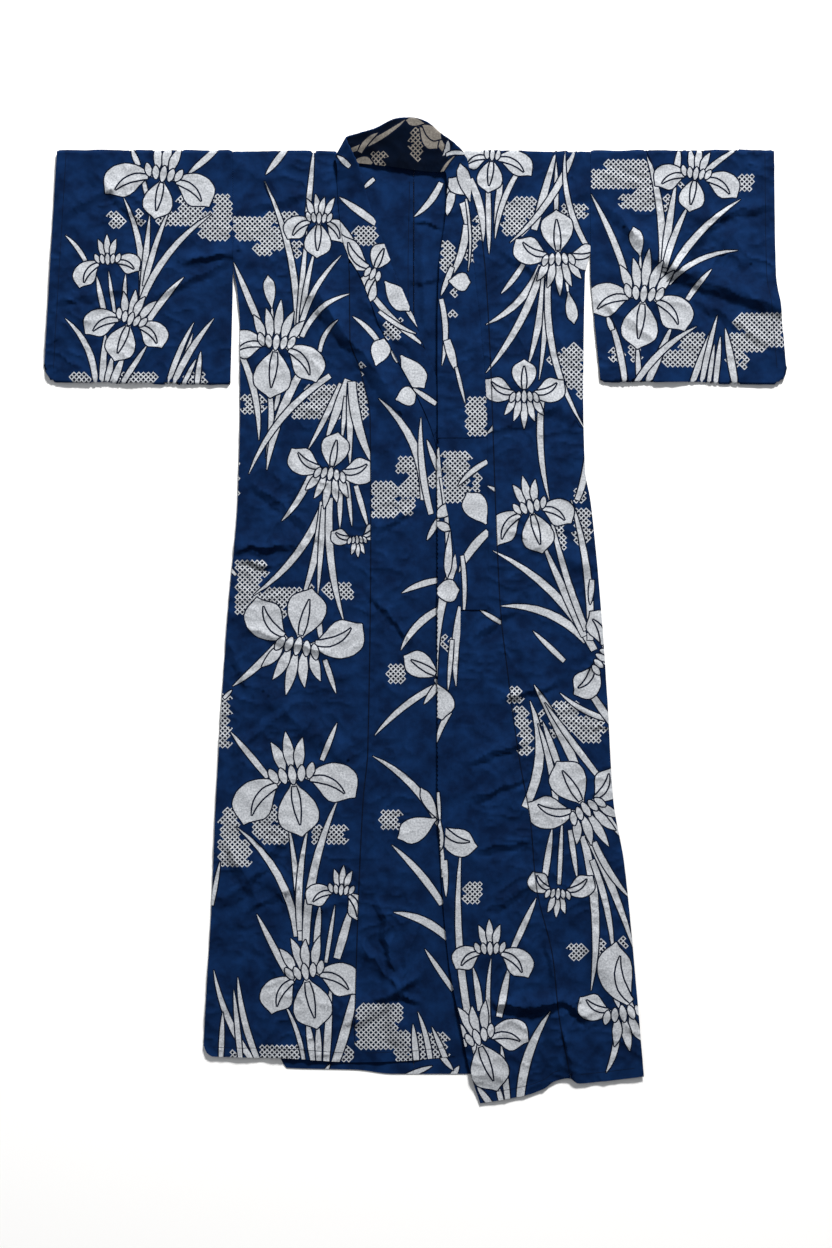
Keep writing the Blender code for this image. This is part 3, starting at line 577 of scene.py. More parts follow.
def crumple(x, y):
    """Small creases all over the cloth, never below zero."""
    shift_x = WARP * noise(x, y, WARP_SIZE, 1)
    shift_y = WARP * noise(x, y, WARP_SIZE, 2)
    wide = 1 - np.sqrt(noise(x + shift_x, y + shift_y, WIDE_SIZE, 3) ** 2 + 0.004)
    middle = 1 - np.sqrt(noise(x + shift_y, (y + shift_x) * 1.3, MIDDLE_SIZE, 4) ** 2 + 0.006)
    strength = 0.35 + 0.65 * smooth(0.5 + noise(x, y, STRENGTH_SIZE, 5))
    small = 0.5 + 0.5 * noise(x, y, SMALL_SIZE, 6)
    swell = 0.5 + 0.5 * noise(x, y, SWELL_SIZE, 7)
    uneven = strength * (MIDDLE_HEIGHT * middle ** 3 + SMALL_HEIGHT * small)
    return WIDE_HEIGHT * wide ** 2 + uneven + SWELL_HEIGHT * swell


def creases(x, y):
    """Main creases from the list, each an uneven ridge with a trough on its lower side."""
    total = np.zeros_like(x)
    wobble_x = WOBBLE * noise(x, y, WOBBLE_SIZE, 8)
    wobble_y = WOBBLE * noise(x, y, WOBBLE_SIZE, 9)
    for x0, y0, x1, y1, pixels, height in CREASES:
        width = pixels * METRES_PER_PIXEL
        ends = from_photo([(x0, y0), (x1, y1)]).ravel()
        distance, share, side = from_segment(x + wobble_x, y + wobble_y, *ends)
        weaker = np.clip(np.minimum(share, 1 - share) * 4 + 0.25, 0, 1)
        ridge = np.clip(1 - distance / width, 0, 1) ** 1.5
        trough = np.clip(1 - np.abs(distance - 0.8 * width) / width, 0, 1) ** 2 * (side > 0)
        total += CREASE_RISE * height * weaker * (ridge - 0.45 * trough)
    return total


def field(x, y):
    """Relief that all the upper layers share, so that no layer passes through another."""
    return np.maximum(crumple(x, y) + creases(x, y), 0.0)


def fold_height(x, y):
    total = np.zeros_like(x)
    for x0, y0, x1, y1, reach, height in FOLDS:
        distance, _, side = from_segment(x, y, x0, y0, x1, y1)
        reach = reach * np.where(side > 0, STEEP_SIDE, 1.0)
        total += height * np.clip(1 - (distance / reach) ** 2, 0, 1) ** 2
    return total


def relief(x, y):
    """All that lies above the plain stack of the upper layers."""
    return fold_height(x, y) + field(x, y)


def low_relief(x, y):
    """The lowest relief nearby, for the sheet below."""
    lowest = relief(x, y)
    for reach in (0.35 * COARSE_GRID, 0.70 * COARSE_GRID):
        for step_x in (-reach, 0.0, reach):
            for step_y in (-reach, 0.0, reach):
                lowest = np.minimum(lowest, relief(x + step_x, y + step_y))
    return lowest


def shoulder_puff(x, y):
    near_fold = smooth(1.0 - (SHOULDER_Y - y) / PUFF_REACH)
    return SHOULDER_AIR * near_fold * smooth((np.abs(x) - COLLAR_REACH) / COLLAR_CLEARANCE)


def front_top(x, y, form=relief):
    """Upper face of the fronts. The wearer's left front lies over the right one."""
    over = np.where(x < 0, 0.0, 1.0 - smooth((x - FLAP_LEFT_OF_X) / (FLAP_SETTLES_X - FLAP_LEFT_OF_X)))
    height = FRONT_TOP + (CROSSING_TOP - FRONT_TOP) * over
    drop = np.where(x < 0, 0.0, smooth((BACK_HEM_Y - y) / HANG_OVER))
    height = height + (PITCH - height) * drop
    return height + shoulder_puff(x, y) + form(x, y)


def under_front_top(x, y, form=relief):
    seen = 1.0 - smooth((x - COVERED_FROM_X) / COVERED_OVER)
    return FRONT_TOP + form(x, y) * seen


def sleeve_top(x, y, form=relief):
    return FRONT_TOP + SLEEVE_AIR + shoulder_puff(x, y) + form(x, y)


def strip_top(x, y, form=relief):
    return STRIP_TOP + form(x, y)


def back_top(x, y, form=relief):
    seen = smooth((y - BACK_SEEN_FROM_Y) / BACK_SEEN_OVER)
    creased = BACK_SHARE * (form(x, y) - fold_height(x, y)).clip(0.0)
    return THIN + np.minimum(creased, BACK_RELIEF * (BACK_COVERED + (1 - BACK_COVERED) * seen))


def half_circle(top, bottom, beyond, turn):
    """Sideways and upward place of a point that lies beyond a fold."""
    radius = (top - bottom) / 2
    angle = math.pi * np.clip(beyond / turn, 0, 1)
    return radius * np.sin(angle), bottom + radius * (1 + np.cos(angle))


def lift_front(top, foot=None):
    """Plan to space for a front that turns under at the shoulder, and at the foot of a sleeve."""
    def lift(plan, form=relief):
        x, y = plan[:, 0], plan[:, 1]
        inside = np.minimum(y, SHOULDER_Y)
        if foot is not None:
            inside = np.maximum(inside, foot(x))
        height = top(x, inside, form)
        out, z = half_circle(height, 0.0, np.abs(y - inside), TURN)
        return stacked(x, inside + np.sign(y - inside) * out, z)
    return lift


def lift_flat(top):
    def lift(plan, form=relief):
        x, y = plan[:, 0], plan[:, 1]
        return stacked(x, y, top(x, y, form))
    return lift


def lift_strip(plan, form=relief):
    """The strip lies on the panel that it belongs to, and turns down at the fold."""
    x, y = plan[:, 0], plan[:, 1]
    edge = along(LEFT_OVERLAP_EDGE, y)
    inside = np.maximum(x, edge)
    height = strip_top(inside, y, form)
    out, z = half_circle(height, height - PITCH, inside - x, STRIP_TURN)
    return stacked(inside - out, y, z)


def area(loop):
    x, y = loop[:, 0], loop[:, 1]
    return 0.5 * np.sum(x * np.roll(y, -1) - np.roll(x, -1) * y)


def turned_left(loop):
    loop = np.asarray(loop, float)
    return loop if area(loop) > 0 else loop[::-1]


def grown(loop, distance):
    """The loop with each of its points moved outwards."""
    loop = turned_left(loop)
    run = unit(loop - np.roll(loop, 1, axis=0)) + unit(np.roll(loop, -1, axis=0) - loop)
    return loop + aside(run) * distance


def aside(run):
    """The direction square to each run, on its right."""
    return unit(stacked(run[:, 1], -run[:, 0]))


def contains(loop, points):
    inside = np.zeros(len(points), bool)
    x, y = points[:, 0], points[:, 1]
    near = (x > loop[:, 0].min()) & (x < loop[:, 0].max()) & (y > loop[:, 1].min()) & (y < loop[:, 1].max())
    x, y = x[near], y[near]
    hit = np.zeros(len(x), bool)
    ends = np.roll(loop, -1, axis=0)
    for (x0, y0), (x1, y1) in zip(loop, ends):
        if y0 == y1:
            continue
        crosses = (y0 > y) != (y1 > y)
        hit ^= crosses & (x < (x1 - x0) * (y - y0) / (y1 - y0) + x0)
    inside[near] = hit
    return inside


def tapered(start, tip, bend, width, shape, steps=9):
    """Loop around a curved centre line whose width follows a shape table."""
    start, tip = np.asarray(start, float), np.asarray(tip, float)
    run = tip - start
    length = max(np.hypot(*run), 1e-6)
    across = np.array([run[1], -run[0]]) / length
    control = (start + tip) / 2 + across * bend * 2
    share = np.linspace(0, 1, steps)[:, None]
    line = (1 - share) ** 2 * start + 2 * share * (1 - share) * control + share ** 2 * tip
    normal = aside((1 - share) * (control - start) + share * (tip - control))
    places, shares = zip(*shape)
    half = np.interp(share[:, 0], places, shares)[:, None] * width / 2
    return np.concatenate([line + normal * half, (line - normal * half)[::-1]])


def printed(loop):
    """A white shape with its thin indigo outline."""
    loop = turned_left(from_photo(loop))
    return [(grown(loop, OUTLINE), LINE), (loop, WHITE)]


def petal(head, tip, up, share, standing):
    """A fall: a petal with two lines that meet before its tip."""
    run = np.array(tip, float) - head
    length = np.hypot(*run)
    across = np.array([run[1], -run[0]]) / length
    lean = 0.0 if standing else 0.13 * length * np.sign(across @ up)
    shapes = printed(tapered(head, tip, lean, share * length, PETAL_SHAPE, 19))
    vein = tapered(head + run * 0.10, head + run * 0.78, lean * 0.72, length * 0.13, VEIN_SHAPE, 10)
    vein = turned_left(from_photo(vein))
    return shapes + [(grown(vein, VEIN_LINE), LINE), (vein, WHITE)]


def iris(x, y, left, middle, right, standards):
    """Falls, standards and the small ovals at the head of one flower."""
    head = np.array([x, y], float)
    tips = [tip for tip in (left, middle, right) if tip is not None]
    reach = np.mean([np.hypot(*(np.array(tip) - head)) for tip in tips])
    up = head - np.mean(tips if middle is None else [middle], axis=0)
    if middle is None and len(tips) == 2:
        up = up * np.array([0.3, 1.0])
    up /= np.hypot(*up)
    side = np.array([-up[1], up[0]])
    shapes = []
    for index in range(standards):
        place = index - (standards - 1) / 2
        lean = place * 0.24
        direction = up * math.cos(lean) + side * math.sin(lean)
        start = head + (side * place * 0.13 + up * (0.16 - 0.04 * abs(place))) * reach
        size = reach * (0.60 if index % 2 else 0.74 if place == 0 else 0.52)
        bend = 0.03 * reach * np.sign(place)
        shapes += printed(tapered(start, start + direction * size, bend, reach * 0.17, SPINDLE_SHAPE))
    for tip in (left, right):
        if tip is not None:
            outward = side * np.sign((np.array(tip, float) - head) @ side)
            neck = head + outward * reach * (0.20 if standards else 0.08)
            shapes += printed(tapered(head, neck + outward * reach * 0.06, 0, reach * 0.05, OVAL_SHAPE, 5))
            length = np.hypot(*(np.array(tip) - neck))
            shapes += petal(neck, tip, up, min(0.78, 0.62 * reach / length), False)
    if middle is not None:
        shapes += petal(head - up * reach * 0.04, middle, up, 0.74, True)
    count = 5 if standards else 3
    for index in range(count):
        place = index - (count - 1) / 2
        lean = place * 0.20
        direction = up * math.cos(lean) + side * math.sin(lean)
        start = head + (side * place * 0.125 - up * (0.08 - 0.03 * abs(place))) * reach
        size = reach * (0.30 if place == 0 else 0.25)
        shapes += printed(tapered(start, start + direction * size, 0, reach * 0.125, OVAL_SHAPE, 9))
    return shapes


def dotted(x0, y0, x1, y1):
    """Outline of the tied dots, whose edge follows the dots themselves."""
    step = DOT_PITCH / 2
    low, high = from_photo([(x0, y1), (x1, y0)]) / step
    first, last = round(low[1]), max(round(high[1]), round(low[1]) + 1)
    kind = (x0 + y0) % 3
    rows = []
    for row in range(first, last + 1):
        inset = DOT_ENDS[kind][min(row - first, last - row) % len(DOT_ENDS[kind])]
        left = math.ceil(low[0] + inset)
        right = math.floor(high[0] - DOT_ENDS[(kind + 1) % 3][min(row - first, last - row) % 3])
        left += (left + row) % 2
        right -= (right + row) % 2
        rows.append((row, left, max(left, right)))
    (foot, left, right), (head, head_left, head_right) = rows[0], rows[-1]
    points = []
    for x in range(left, right + 1, 2):
        points += [(x - 1, foot), (x, foot - 1)]
    points += [(end + 1, row) for row, _, end in rows]
    for x in range(head_right, head_left - 1, -2):
        points += [(x, head + 1), (x - 1, head)]
    points += [(start - 1, row) for row, start, _ in reversed(rows[1:-1])]
    return grown(np.array(points, float) * step, DOT_PITCH * 0.10)


def print_of(panel):
    """All the printed shapes of a panel, each with its colour, in the order they are laid."""
    shapes = [(dotted(*patch), DOTTED) for patch in PATCHES.get(panel, [])]
    for x, y, tip_x, tip_y, bend, width in BLADES.get(panel, []):
        shapes += printed(tapered((x, y), (tip_x, tip_y), bend, width, BLADE_SHAPE))
    for x, y, tip_x, tip_y, width in BUDS.get(panel, []):
        shapes += printed(tapered((x, y), (tip_x, tip_y), 0, width, PETAL_SHAPE, 14))
    for flower in IRISES.get(panel, []):
        shapes += iris(*flower)
    return shapes


def ribbon(x, y):
    """Loop of a thin line of sewing through the given points."""
    line = stacked(x + np.zeros_like(y), y + np.zeros_like(x))
    normal = aside(np.gradient(line, axis=0)) * STITCH / 2
    return turned_left(np.concatenate([line + normal, (line - normal)[::-1]])), LINE


def seam_down(edge, top, foot, shift):
    y = spread(top, foot, EDGE_STEP)
    return ribbon(along(edge, y) + shift, y)


def seam_across(hem, first, last, shift):
    x = spread(first, last, EDGE_STEP)
    return ribbon(x, along(hem, x) + shift)


def corner(edge, hem, x):
    """Where an edge meets a hem."""
    for _ in range(12):
        y = float(along(hem, x))
        x = float(along(edge, y))
    return x, y


def spread(first, last, step):
    return np.linspace(first, last, max(int(abs(last - first) / step), 1) + 1)


def panel_loop(outer, inner, hem, top_y, outer_shift=0.0, inner_shift=0.0, inner_top=None):
    """Outline between two edges, from the given top down to the hem."""
    inner_top = top_y if inner_top is None else inner_top
    outer_x, outer_y = corner(outer, hem, outer[-1][1])
    inner_x, inner_y = corner(inner, hem, inner[-1][1])
    down = spread(top_y, outer_y, EDGE_STEP)
    up = spread(inner_y, inner_top, EDGE_STEP)
    across = spread(outer_x + outer_shift, inner_x + inner_shift, EDGE_STEP)[1:-1]
    first = stacked(along(outer, down) + outer_shift, down)
    middle = stacked(across, along(hem, across))
    last = stacked(along(inner, up) + inner_shift, up)
    return turned_left(np.concatenate([first, middle, last]))


def back_loop(side, sign):
    """Outline of a back panel, under the front and up to the neckline."""
    neck_x = BACK_NECKLINE[0 if sign < 0 else -1][0]
    side_x, side_y = corner(side, BACK_HEM, side[-1][1])
    centre_x = CENTRE_SEAM_X + sign * GAP / 2
    down = spread(SHOULDER_Y, side_y, EDGE_STEP)
    first = stacked(along(side, down), down)
    across = spread(side_x, centre_x, EDGE_STEP)[1:]
    foot = stacked(across, along(BACK_HEM, across))
    top = spread(centre_x, neck_x, EDGE_STEP)
    neck = stacked(top, along(BACK_NECKLINE, top) + UNDER_COLLAR)
    end = np.array([[neck_x, SHOULDER_Y]])
    return turned_left(np.concatenate([first, foot, neck, end]))


def sleeve_foot(foot, outer_x):
    def level(x):
        into = np.clip(SLEEVE_CORNER - np.abs(outer_x - x), 0, SLEEVE_CORNER)
        rise = SLEEVE_CORNER - np.sqrt(SLEEVE_CORNER ** 2 - into ** 2)
        return along(foot, x) + rise
    return level


def sleeve_loop(armhole, cuff, level, turn):
    """Outline of one layer of a sleeve, with what turns under at the top and at the foot."""
    outer_x = float(along(cuff, SLEEVE_FOOT_LEVEL))
    inner_x = float(along(armhole, SLEEVE_FOOT_LEVEL))
    across = spread(outer_x, inner_x, EDGE_STEP / 2)
    low = level(across)
    down = spread(SHOULDER_Y + turn, low[0], EDGE_STEP)
    up = spread(low[-1], SHOULDER_Y + turn, EDGE_STEP)
    first = stacked(along(cuff, down), down)
    foot = stacked(across, low - turn)
    last = stacked(along(armhole, up), up)
    return turned_left(np.concatenate([first[:-1], foot, last[1:]]))


def strip_loop():
    ys = spread(STRIP_BOTTOM_Y, STRIP_TOP_Y, EDGE_STEP)
    edge = along(LEFT_OVERLAP_EDGE, ys)
    free = np.maximum(along(STRIP_EDGE, ys), edge + 0.003) - GAP / 2
    right = stacked(free, ys)
    left = stacked(edge - STRIP_TURN, ys)[::-1]
    return turned_left(np.concatenate([right, left]))


def tree_of(points):
    """Search tree of plan points."""
    tree = KDTree(len(points))
    for index, point in enumerate(points):
        tree.insert((point[0], point[1], 0.0), index)
    tree.balance()
    return tree


def nearest(loop):
    """Search tree of points all along a loop."""
    ends = np.roll(loop, -1, axis=0)
    points = []
    for start, end in zip(loop, ends):
        count = max(int(np.hypot(*(end - start)) / LOOP_STEP), 1)
        points.append(start + (end - start) * (np.arange(count) / count)[:, None])
    return tree_of(np.concatenate(points))


def distances(tree, points):
    return np.array([tree.find((x, y, 0.0))[2] for x, y in points])


def triangles(loop, shapes, grid):
    """Plan points, triangles and colours of a sheet cut along its printed shapes."""
    tree = nearest(loop)
    low, high = loop.min(0), loop.max(0)
    rows = int((high[1] - low[1]) / (grid * ROW_SHARE)) + 1
    columns = int((high[0] - low[0]) / grid) + 2
    i, j = np.meshgrid(np.arange(columns), np.arange(rows))
    x = low[0] + (i + (j % 2) / 2) * grid
    y = low[1] + j * grid * ROW_SHARE
    points = stacked(x.ravel(), y.ravel())
    points = points[contains(loop, points)]
    points = points[distances(tree, points) > min(grid / 2, CLEAR_OF_EDGE)]
    verts = [Vector(point) for point in loop]
    edges = [(k, (k + 1) % len(loop)) for k in range(len(loop))]
    for shape, _ in shapes:
        start = len(verts)
        count = len(shape)
        verts += [Vector(point) for point in shape]
        edges += [(start + k, start + (k + 1) % count) for k in range(count)]
    verts += [Vector(point) for point in points]
    out = delaunay_2d_cdt(verts, edges, [], 0, 0.00002)
    plan = np.array([tuple(v) for v in out[0]])
    faces = np.array([f for f in out[2] if len(f) == 3])
    middle = plan[faces].mean(axis=1)
    twice = np.cross(plan[faces[:, 1]] - plan[faces[:, 0]], plan[faces[:, 2]] - plan[faces[:, 0]])
    if twice.sum() < 0:
        faces = faces[:, ::-1]
    on_loop = np.zeros(len(plan), bool)
    for edge, came_from in zip(out[1], out[4]):
        if any(source < len(loop) for source in came_from):
            on_loop[list(edge)] = True
    flat = (np.abs(twice) < SLIVER) & on_loop[faces].all(axis=1)
    keep = contains(loop, middle) & ~flat
    faces, middle = faces[keep], middle[keep]
    colours = np.zeros(len(faces), int)
    for shape, colour in shapes:
        colours[contains(shape, middle)] = colour
    used, faces = np.unique(faces, return_inverse=True)
    return plan[used], faces.reshape(-1, 3), colours, tree


def rim_of(faces):
    """The border as one ordered ring of point numbers, and the faces that close any pinhole."""
    pairs = set()
    for a, b, c in faces.tolist():
        pairs.update(((a, b), (b, c), (c, a)))
    following = {}
    for a, b in sorted(pairs):
        if (b, a) not in pairs:
            following.setdefault(a, []).append(b)
    rings = []
    while following:
        ring = [next(iter(following))]
        places = {ring[0]: 0}
        while ring:
            ends = following.get(ring[-1])
            if ends is None:
                break
            point = ends.pop()
            if not ends:
                del following[ring[-1]]
            if point in places:
                first = places[point]
                rings.append(ring[first:])
                for other in ring[first + 1:]:
                    del places[other]
                ring = ring[:first + 1]
            else:
                places[point] = len(ring)
                ring.append(point)
    rings.sort(key=len)
    closing = []
    for ring in rings[:-1]:
        closing += [(ring[0], ring[k + 1], ring[k]) for k in range(1, len(ring) - 1)]
    return rings[-1], np.array(closing, int).reshape(-1, 3)


def normals_of(lift, plan, step=0.0008):
    across, up = np.array([step, 0.0]), np.array([0.0, step])
    return unit(np.cross(lift(plan + across) - lift(plan - across), lift(plan + up) - lift(plan - up)))


class Cloth:
    """A piece of cloth made of one or more thin shells."""

    def __init__(self, name):
        self.name = name
        self.points, self.faces, self.colours = [], [], []
        self.corner_plan, self.corner_bake, self.corner_normals = [], [], []
        self.count = 0
        self.bake_x = 0.0
        self.height = 0.0

    def add(self, points, faces, colours, plan, bake, normals):
        """plan, bake and normals are given for each corner of the faces."""
        self.points.append(points)
        self.faces += [[k + self.count for k in face] for face in faces]
        self.colours += list(colours)
        self.corner_plan.append(plan)
        self.corner_bake.append(bake)
        self.corner_normals.append(normals)
        self.count += len(points)

    def shell(self, loop, lift, shapes=(), grid=GRID, to_plan=None):
        """Upper sheet with its print, a plain sheet below and the rim that joins them."""
        plan, faces, colours, tree = triangles(loop, list(shapes), grid)
        normal = normals_of(lift, plan)
        dip = SEAM_DIP * (1 - smooth(distances(tree, plan) / SEAM_DIP_REACH))
        upper = lift(plan) - normal * dip[:, None]
        ring, closing = rim_of(faces)
        faces = np.concatenate([faces, closing])
        colours = np.concatenate([colours, np.full(len(closing), INDIGO)])
        border = plan[ring]
        low_plan, low_faces, _, _ = triangles(border, [], COARSE_GRID)
        match = tree_of(low_plan)
        low_ring = [match.find((x, y, 0.0))[1] for x, y in border]
        low_normal = normals_of(lift, low_plan)
        lower = lift(low_plan, low_relief) - low_normal * THIN
        shown = plan if to_plan is None else to_plan(plan)
        shown_low = low_plan if to_plan is None else to_plan(low_plan)
        low = plan.min(0)
        width, height = np.ptp(plan, axis=0)
        offset = np.array([self.bake_x, 0.0])
        flat = faces.ravel()
        start = self.count
        self.add(upper, faces.tolist(), colours, shown[flat], plan[flat] - low + offset, normal[flat])
        offset = offset + np.array([width + BAKE_GAP, 0.0])
        flat = low_faces[:, ::-1].ravel()
        self.add(lower, low_faces[:, ::-1].tolist(), [INDIGO] * len(low_faces), shown_low[flat],
                 low_plan[flat] - low + offset, -low_normal[flat])
        second = start + len(upper)
        quads, place, turned, spots = [], [], [], []
        count = len(ring)
        column = offset[0] + width + BAKE_STRIP
        for k in range(count):
            m = (k + 1) % count
            quad = [start + ring[k], second + low_ring[k], second + low_ring[m], start + ring[m]]
            if len(set(quad)) < 4:
                continue
            quads.append([q - self.count for q in quad])
            place += [shown[ring[k]], shown[ring[k]], shown[ring[m]], shown[ring[m]]]
            level, next_level = height * k / count, height * (k + 0.9) / count
            beside = column + BAKE_STRIP
            spots += [(column, level), (beside, level), (beside, next_level), (column, next_level)]
            a, b, c = upper[ring[k]], lower[low_ring[k]], lower[low_ring[m]]
            turned += [unit(np.cross(b - a, c - a))] * 4
        plain = [INDIGO] * len(quads)
        self.add(np.zeros((0, 3)), quads, plain, np.array(place), np.array(spots), np.array(turned))
        self.bake_x = column + BAKE_GAP + BAKE_STRIP
        self.height = max(self.height, height)

    def build(self, materials):
        mesh = bpy.data.meshes.new(self.name + "_cloth")
        mesh.from_pydata(np.concatenate(self.points).tolist(), [], self.faces)
        for material in materials:
            mesh.materials.append(material)
        mesh.polygons.foreach_set("material_index", np.array(self.colours, np.int32))
        mesh.polygons.foreach_set("use_smooth", np.ones(len(self.faces), bool))
        plan = mesh.uv_layers.new(name="UVMap")
        plan.data.foreach_set("uv", np.concatenate(self.corner_plan).astype(np.float32).ravel())
        bake = mesh.uv_layers.new(name="OFBake")
        scale = 1.0 / np.array([self.bake_x, self.height + BAKE_STRIP])
        spots = (np.concatenate(self.corner_bake) + BAKE_STRIP / 2) * scale
        bake.data.foreach_set("uv", spots.astype(np.float32).ravel())
        mesh.uv_layers.active = plan
        mesh.normals_split_custom_set(np.concatenate(self.corner_normals).tolist())
        mesh.update()
        piece = bpy.data.objects.new(self.name + "_cloth", mesh)
        piece["node"] = self.name
        bpy.context.scene.collection.objects.link(piece)
        return piece


def curve_between(before, start, end, after, t):
    return 0.5 * ((2 * start) + (end - before) * t + (2 * before - 5 * start + 4 * end - after) * t * t
                  + (3 * start - before - 3 * end + after) * t ** 3)


BAND_ACROSS = 12
NECK_STEPS = 10
BAND_STEP = 0.005


def run_pairs(run, seam_x, seam_y, base_z):
    """Sewn and free edge of the band along one front."""
    free_x, free_y, rise = (along([(row[0], row[k]) for row in run], seam_y) for k in (1, 2, 3))
    level = np.full_like(seam_y, base_z)
    return stacked(seam_x, seam_y, level), stacked(free_x, free_y, level + rise)


def band_grid():
    """Middle of the collar's wall: rows across it, all along it, and where the neck begins and ends."""
    seam_top = RIGHT_OVERLAP_EDGE[0][0]
    ys = spread(RIGHT_RUN[0][0], RIGHT_RUN_TOP_Y, BAND_STEP)
    xs = np.where(ys > seam_top, along(RIGHT_FRONT_EDGE, ys), along(RIGHT_OVERLAP_EDGE, ys)) + GAP
    first = run_pairs(RIGHT_RUN, xs, ys, UNDER_Z)
    sections = [np.array(row) for row in NECK_SECTIONS]
    neck = []
    last = len(sections) - 1
    for k in range(last):
        for part in range(NECK_STEPS):
            neck.append(curve_between(sections[max(k - 1, 0)], sections[k], sections[k + 1],
                                      sections[min(k + 2, last)], part / NECK_STEPS))
    neck = np.array(neck)
    middle = (neck[:, [0, 1, 4]], neck[:, [2, 3, 5]])
    ys = spread(LEFT_BAND_EDGE[0][0], LEFT_RUN[-1][0], BAND_STEP)
    xs = np.where(ys > STRIP_TOP_Y, along(LEFT_BAND_EDGE, ys), along(STRIP_EDGE, ys)) + GAP
    third = run_pairs(LEFT_RUN, xs, ys, OVER_Z)
    seam = np.concatenate([first[0], middle[0], third[0]])
    free = np.concatenate([first[1], middle[1], third[1]])
    share = np.linspace(0, 1, BAND_ACROSS + 1)[None, :, None]
    grid = seam[:, None] * (1 - share) + free[:, None] * share
    relief = field(grid[..., 0], grid[..., 1])
    on_right = (np.arange(len(grid)) < len(first[0]))[:, None]
    hidden = on_right * smooth((grid[..., 0] - COVERED_FROM_X) / COVERED_OVER)
    grid[..., 2] += relief * (1 - hidden)
    return grid, len(first[0]), len(first[0]) + len(neck)


class Band:
    """The collar's surface, addressed by the way across it and the way along it, in metres."""

    def __init__(self, grid, reach):
        self.grid = grid
        self.reach = reach
        centre = grid.mean(axis=1)
        self.lengths = np.concatenate([[0.0], np.cumsum(np.linalg.norm(np.diff(centre, axis=0), axis=1))])
        self.width = float(np.mean(np.linalg.norm(grid[:, -1] - grid[:, 0], axis=1)))
        self.across = unit(np.gradient(grid, axis=1))
        self.normal = unit(np.cross(self.across, np.gradient(grid, axis=0)))
        self.turn = math.pi * reach

    def read(self, values, across, along_it):
        rows, columns = values.shape[:2]
        u = np.interp(along_it, self.lengths, np.arange(rows))
        v = np.clip(across / self.width, 0, 1) * (columns - 1)
        i = np.clip(u.astype(int), 0, rows - 2)
        j = np.clip(v.astype(int), 0, columns - 2)
        fu, fv = (u - i)[:, None], (v - j)[:, None]
        low = values[i, j] * (1 - fv) + values[i, j + 1] * fv
        high = values[i + 1, j] * (1 - fv) + values[i + 1, j + 1] * fv
        return low * (1 - fu) + high * fu

    def wrapped(self, plan, form=None):
        """Over one face, around the free edge and back over the other face."""
        across, along_it = plan[:, 0], plan[:, 1]
        beyond = np.clip((across - self.width) / self.turn, 0, 1)
        angle = math.pi * beyond
        place = np.where(across > self.width + self.turn, 2 * self.width + self.turn - across, across)
        middle = self.read(self.grid, place, along_it)
        normal = self.read(self.normal, place, along_it)
        outward = self.read(self.across, place, along_it)
        return middle + self.reach * (normal * np.cos(angle)[:, None] + outward * np.sin(angle)[:, None])

    def second_face(self, plan, form=None):
        """Only the face that shows on the wearer's left front."""
        across, along_it = self.width - plan[:, 0], plan[:, 1]
        return self.read(self.grid, across, along_it) - self.reach * self.read(self.normal, across, along_it)

    def flatten(self, points, first, last):
        """Way across and along the band of points given in the shared plan, near the given rows."""
        columns = self.grid.shape[1]
        part = self.grid[first:last, :, :2]
        share = np.arange(columns) / (columns - 1) * self.width
        result = []
        for point in points:
            off = point - part
            i, j = np.unravel_index(np.argmin((off ** 2).sum(axis=2)), off.shape[:2])
            i = min(max(i, 1), len(part) - 2)
            j = min(max(j, 1), columns - 2)
            step_u = part[i + 1, j] - part[i - 1, j]
            step_v = part[i, j + 1] - part[i, j - 1]
            span_u = self.lengths[first + i + 1] - self.lengths[first + i - 1]
            span_v = share[j + 1] - share[j - 1]
            solved = np.linalg.lstsq(stacked(step_u, step_v), point - part[i, j], rcond=0.05)[0]
            result.append((share[j] + solved[1] * span_v, self.lengths[first + i] + solved[0] * span_u))
        return np.array(result)


def rectangle(x0, x1, y0, y1):
    bottom, top = spread(x0, x1, EDGE_STEP), spread(x1, x0, EDGE_STEP)
    up, down = spread(y0, y1, EDGE_STEP), spread(y1, y0, EDGE_STEP)
    return np.concatenate([
        stacked(bottom[:-1], np.full(len(bottom) - 1, y0)),
        stacked(np.full(len(up) - 1, x1), up[:-1]),
        stacked(top[:-1], np.full(len(top) - 1, y1)),
        stacked(np.full(len(down) - 1, x0), down[:-1]),
    ])


def seen_from_above(lift):
    return lambda plan: lift(plan)[:, :2]


def node_maker(material):
    tree = material.node_tree
    shader = tree.nodes["Principled BSDF"]

    def node(kind, **settings):
        made = tree.nodes.new(kind)
        for name, value in settings.items():
            setattr(made, name, value)
        return made

    def join(start, end):
        tree.links.new(start, end)
    return shader, node, join


def maths(node, join, operation, first, second=None):
    made = node("ShaderNodeMath", operation=operation)
    for index, value in enumerate((first, second)):
        if value is None:
            continue
        if isinstance(value, (int, float)):
            made.inputs[index].default_value = value
        else:
            join(value, made.inputs[index])
    return made.outputs[0]


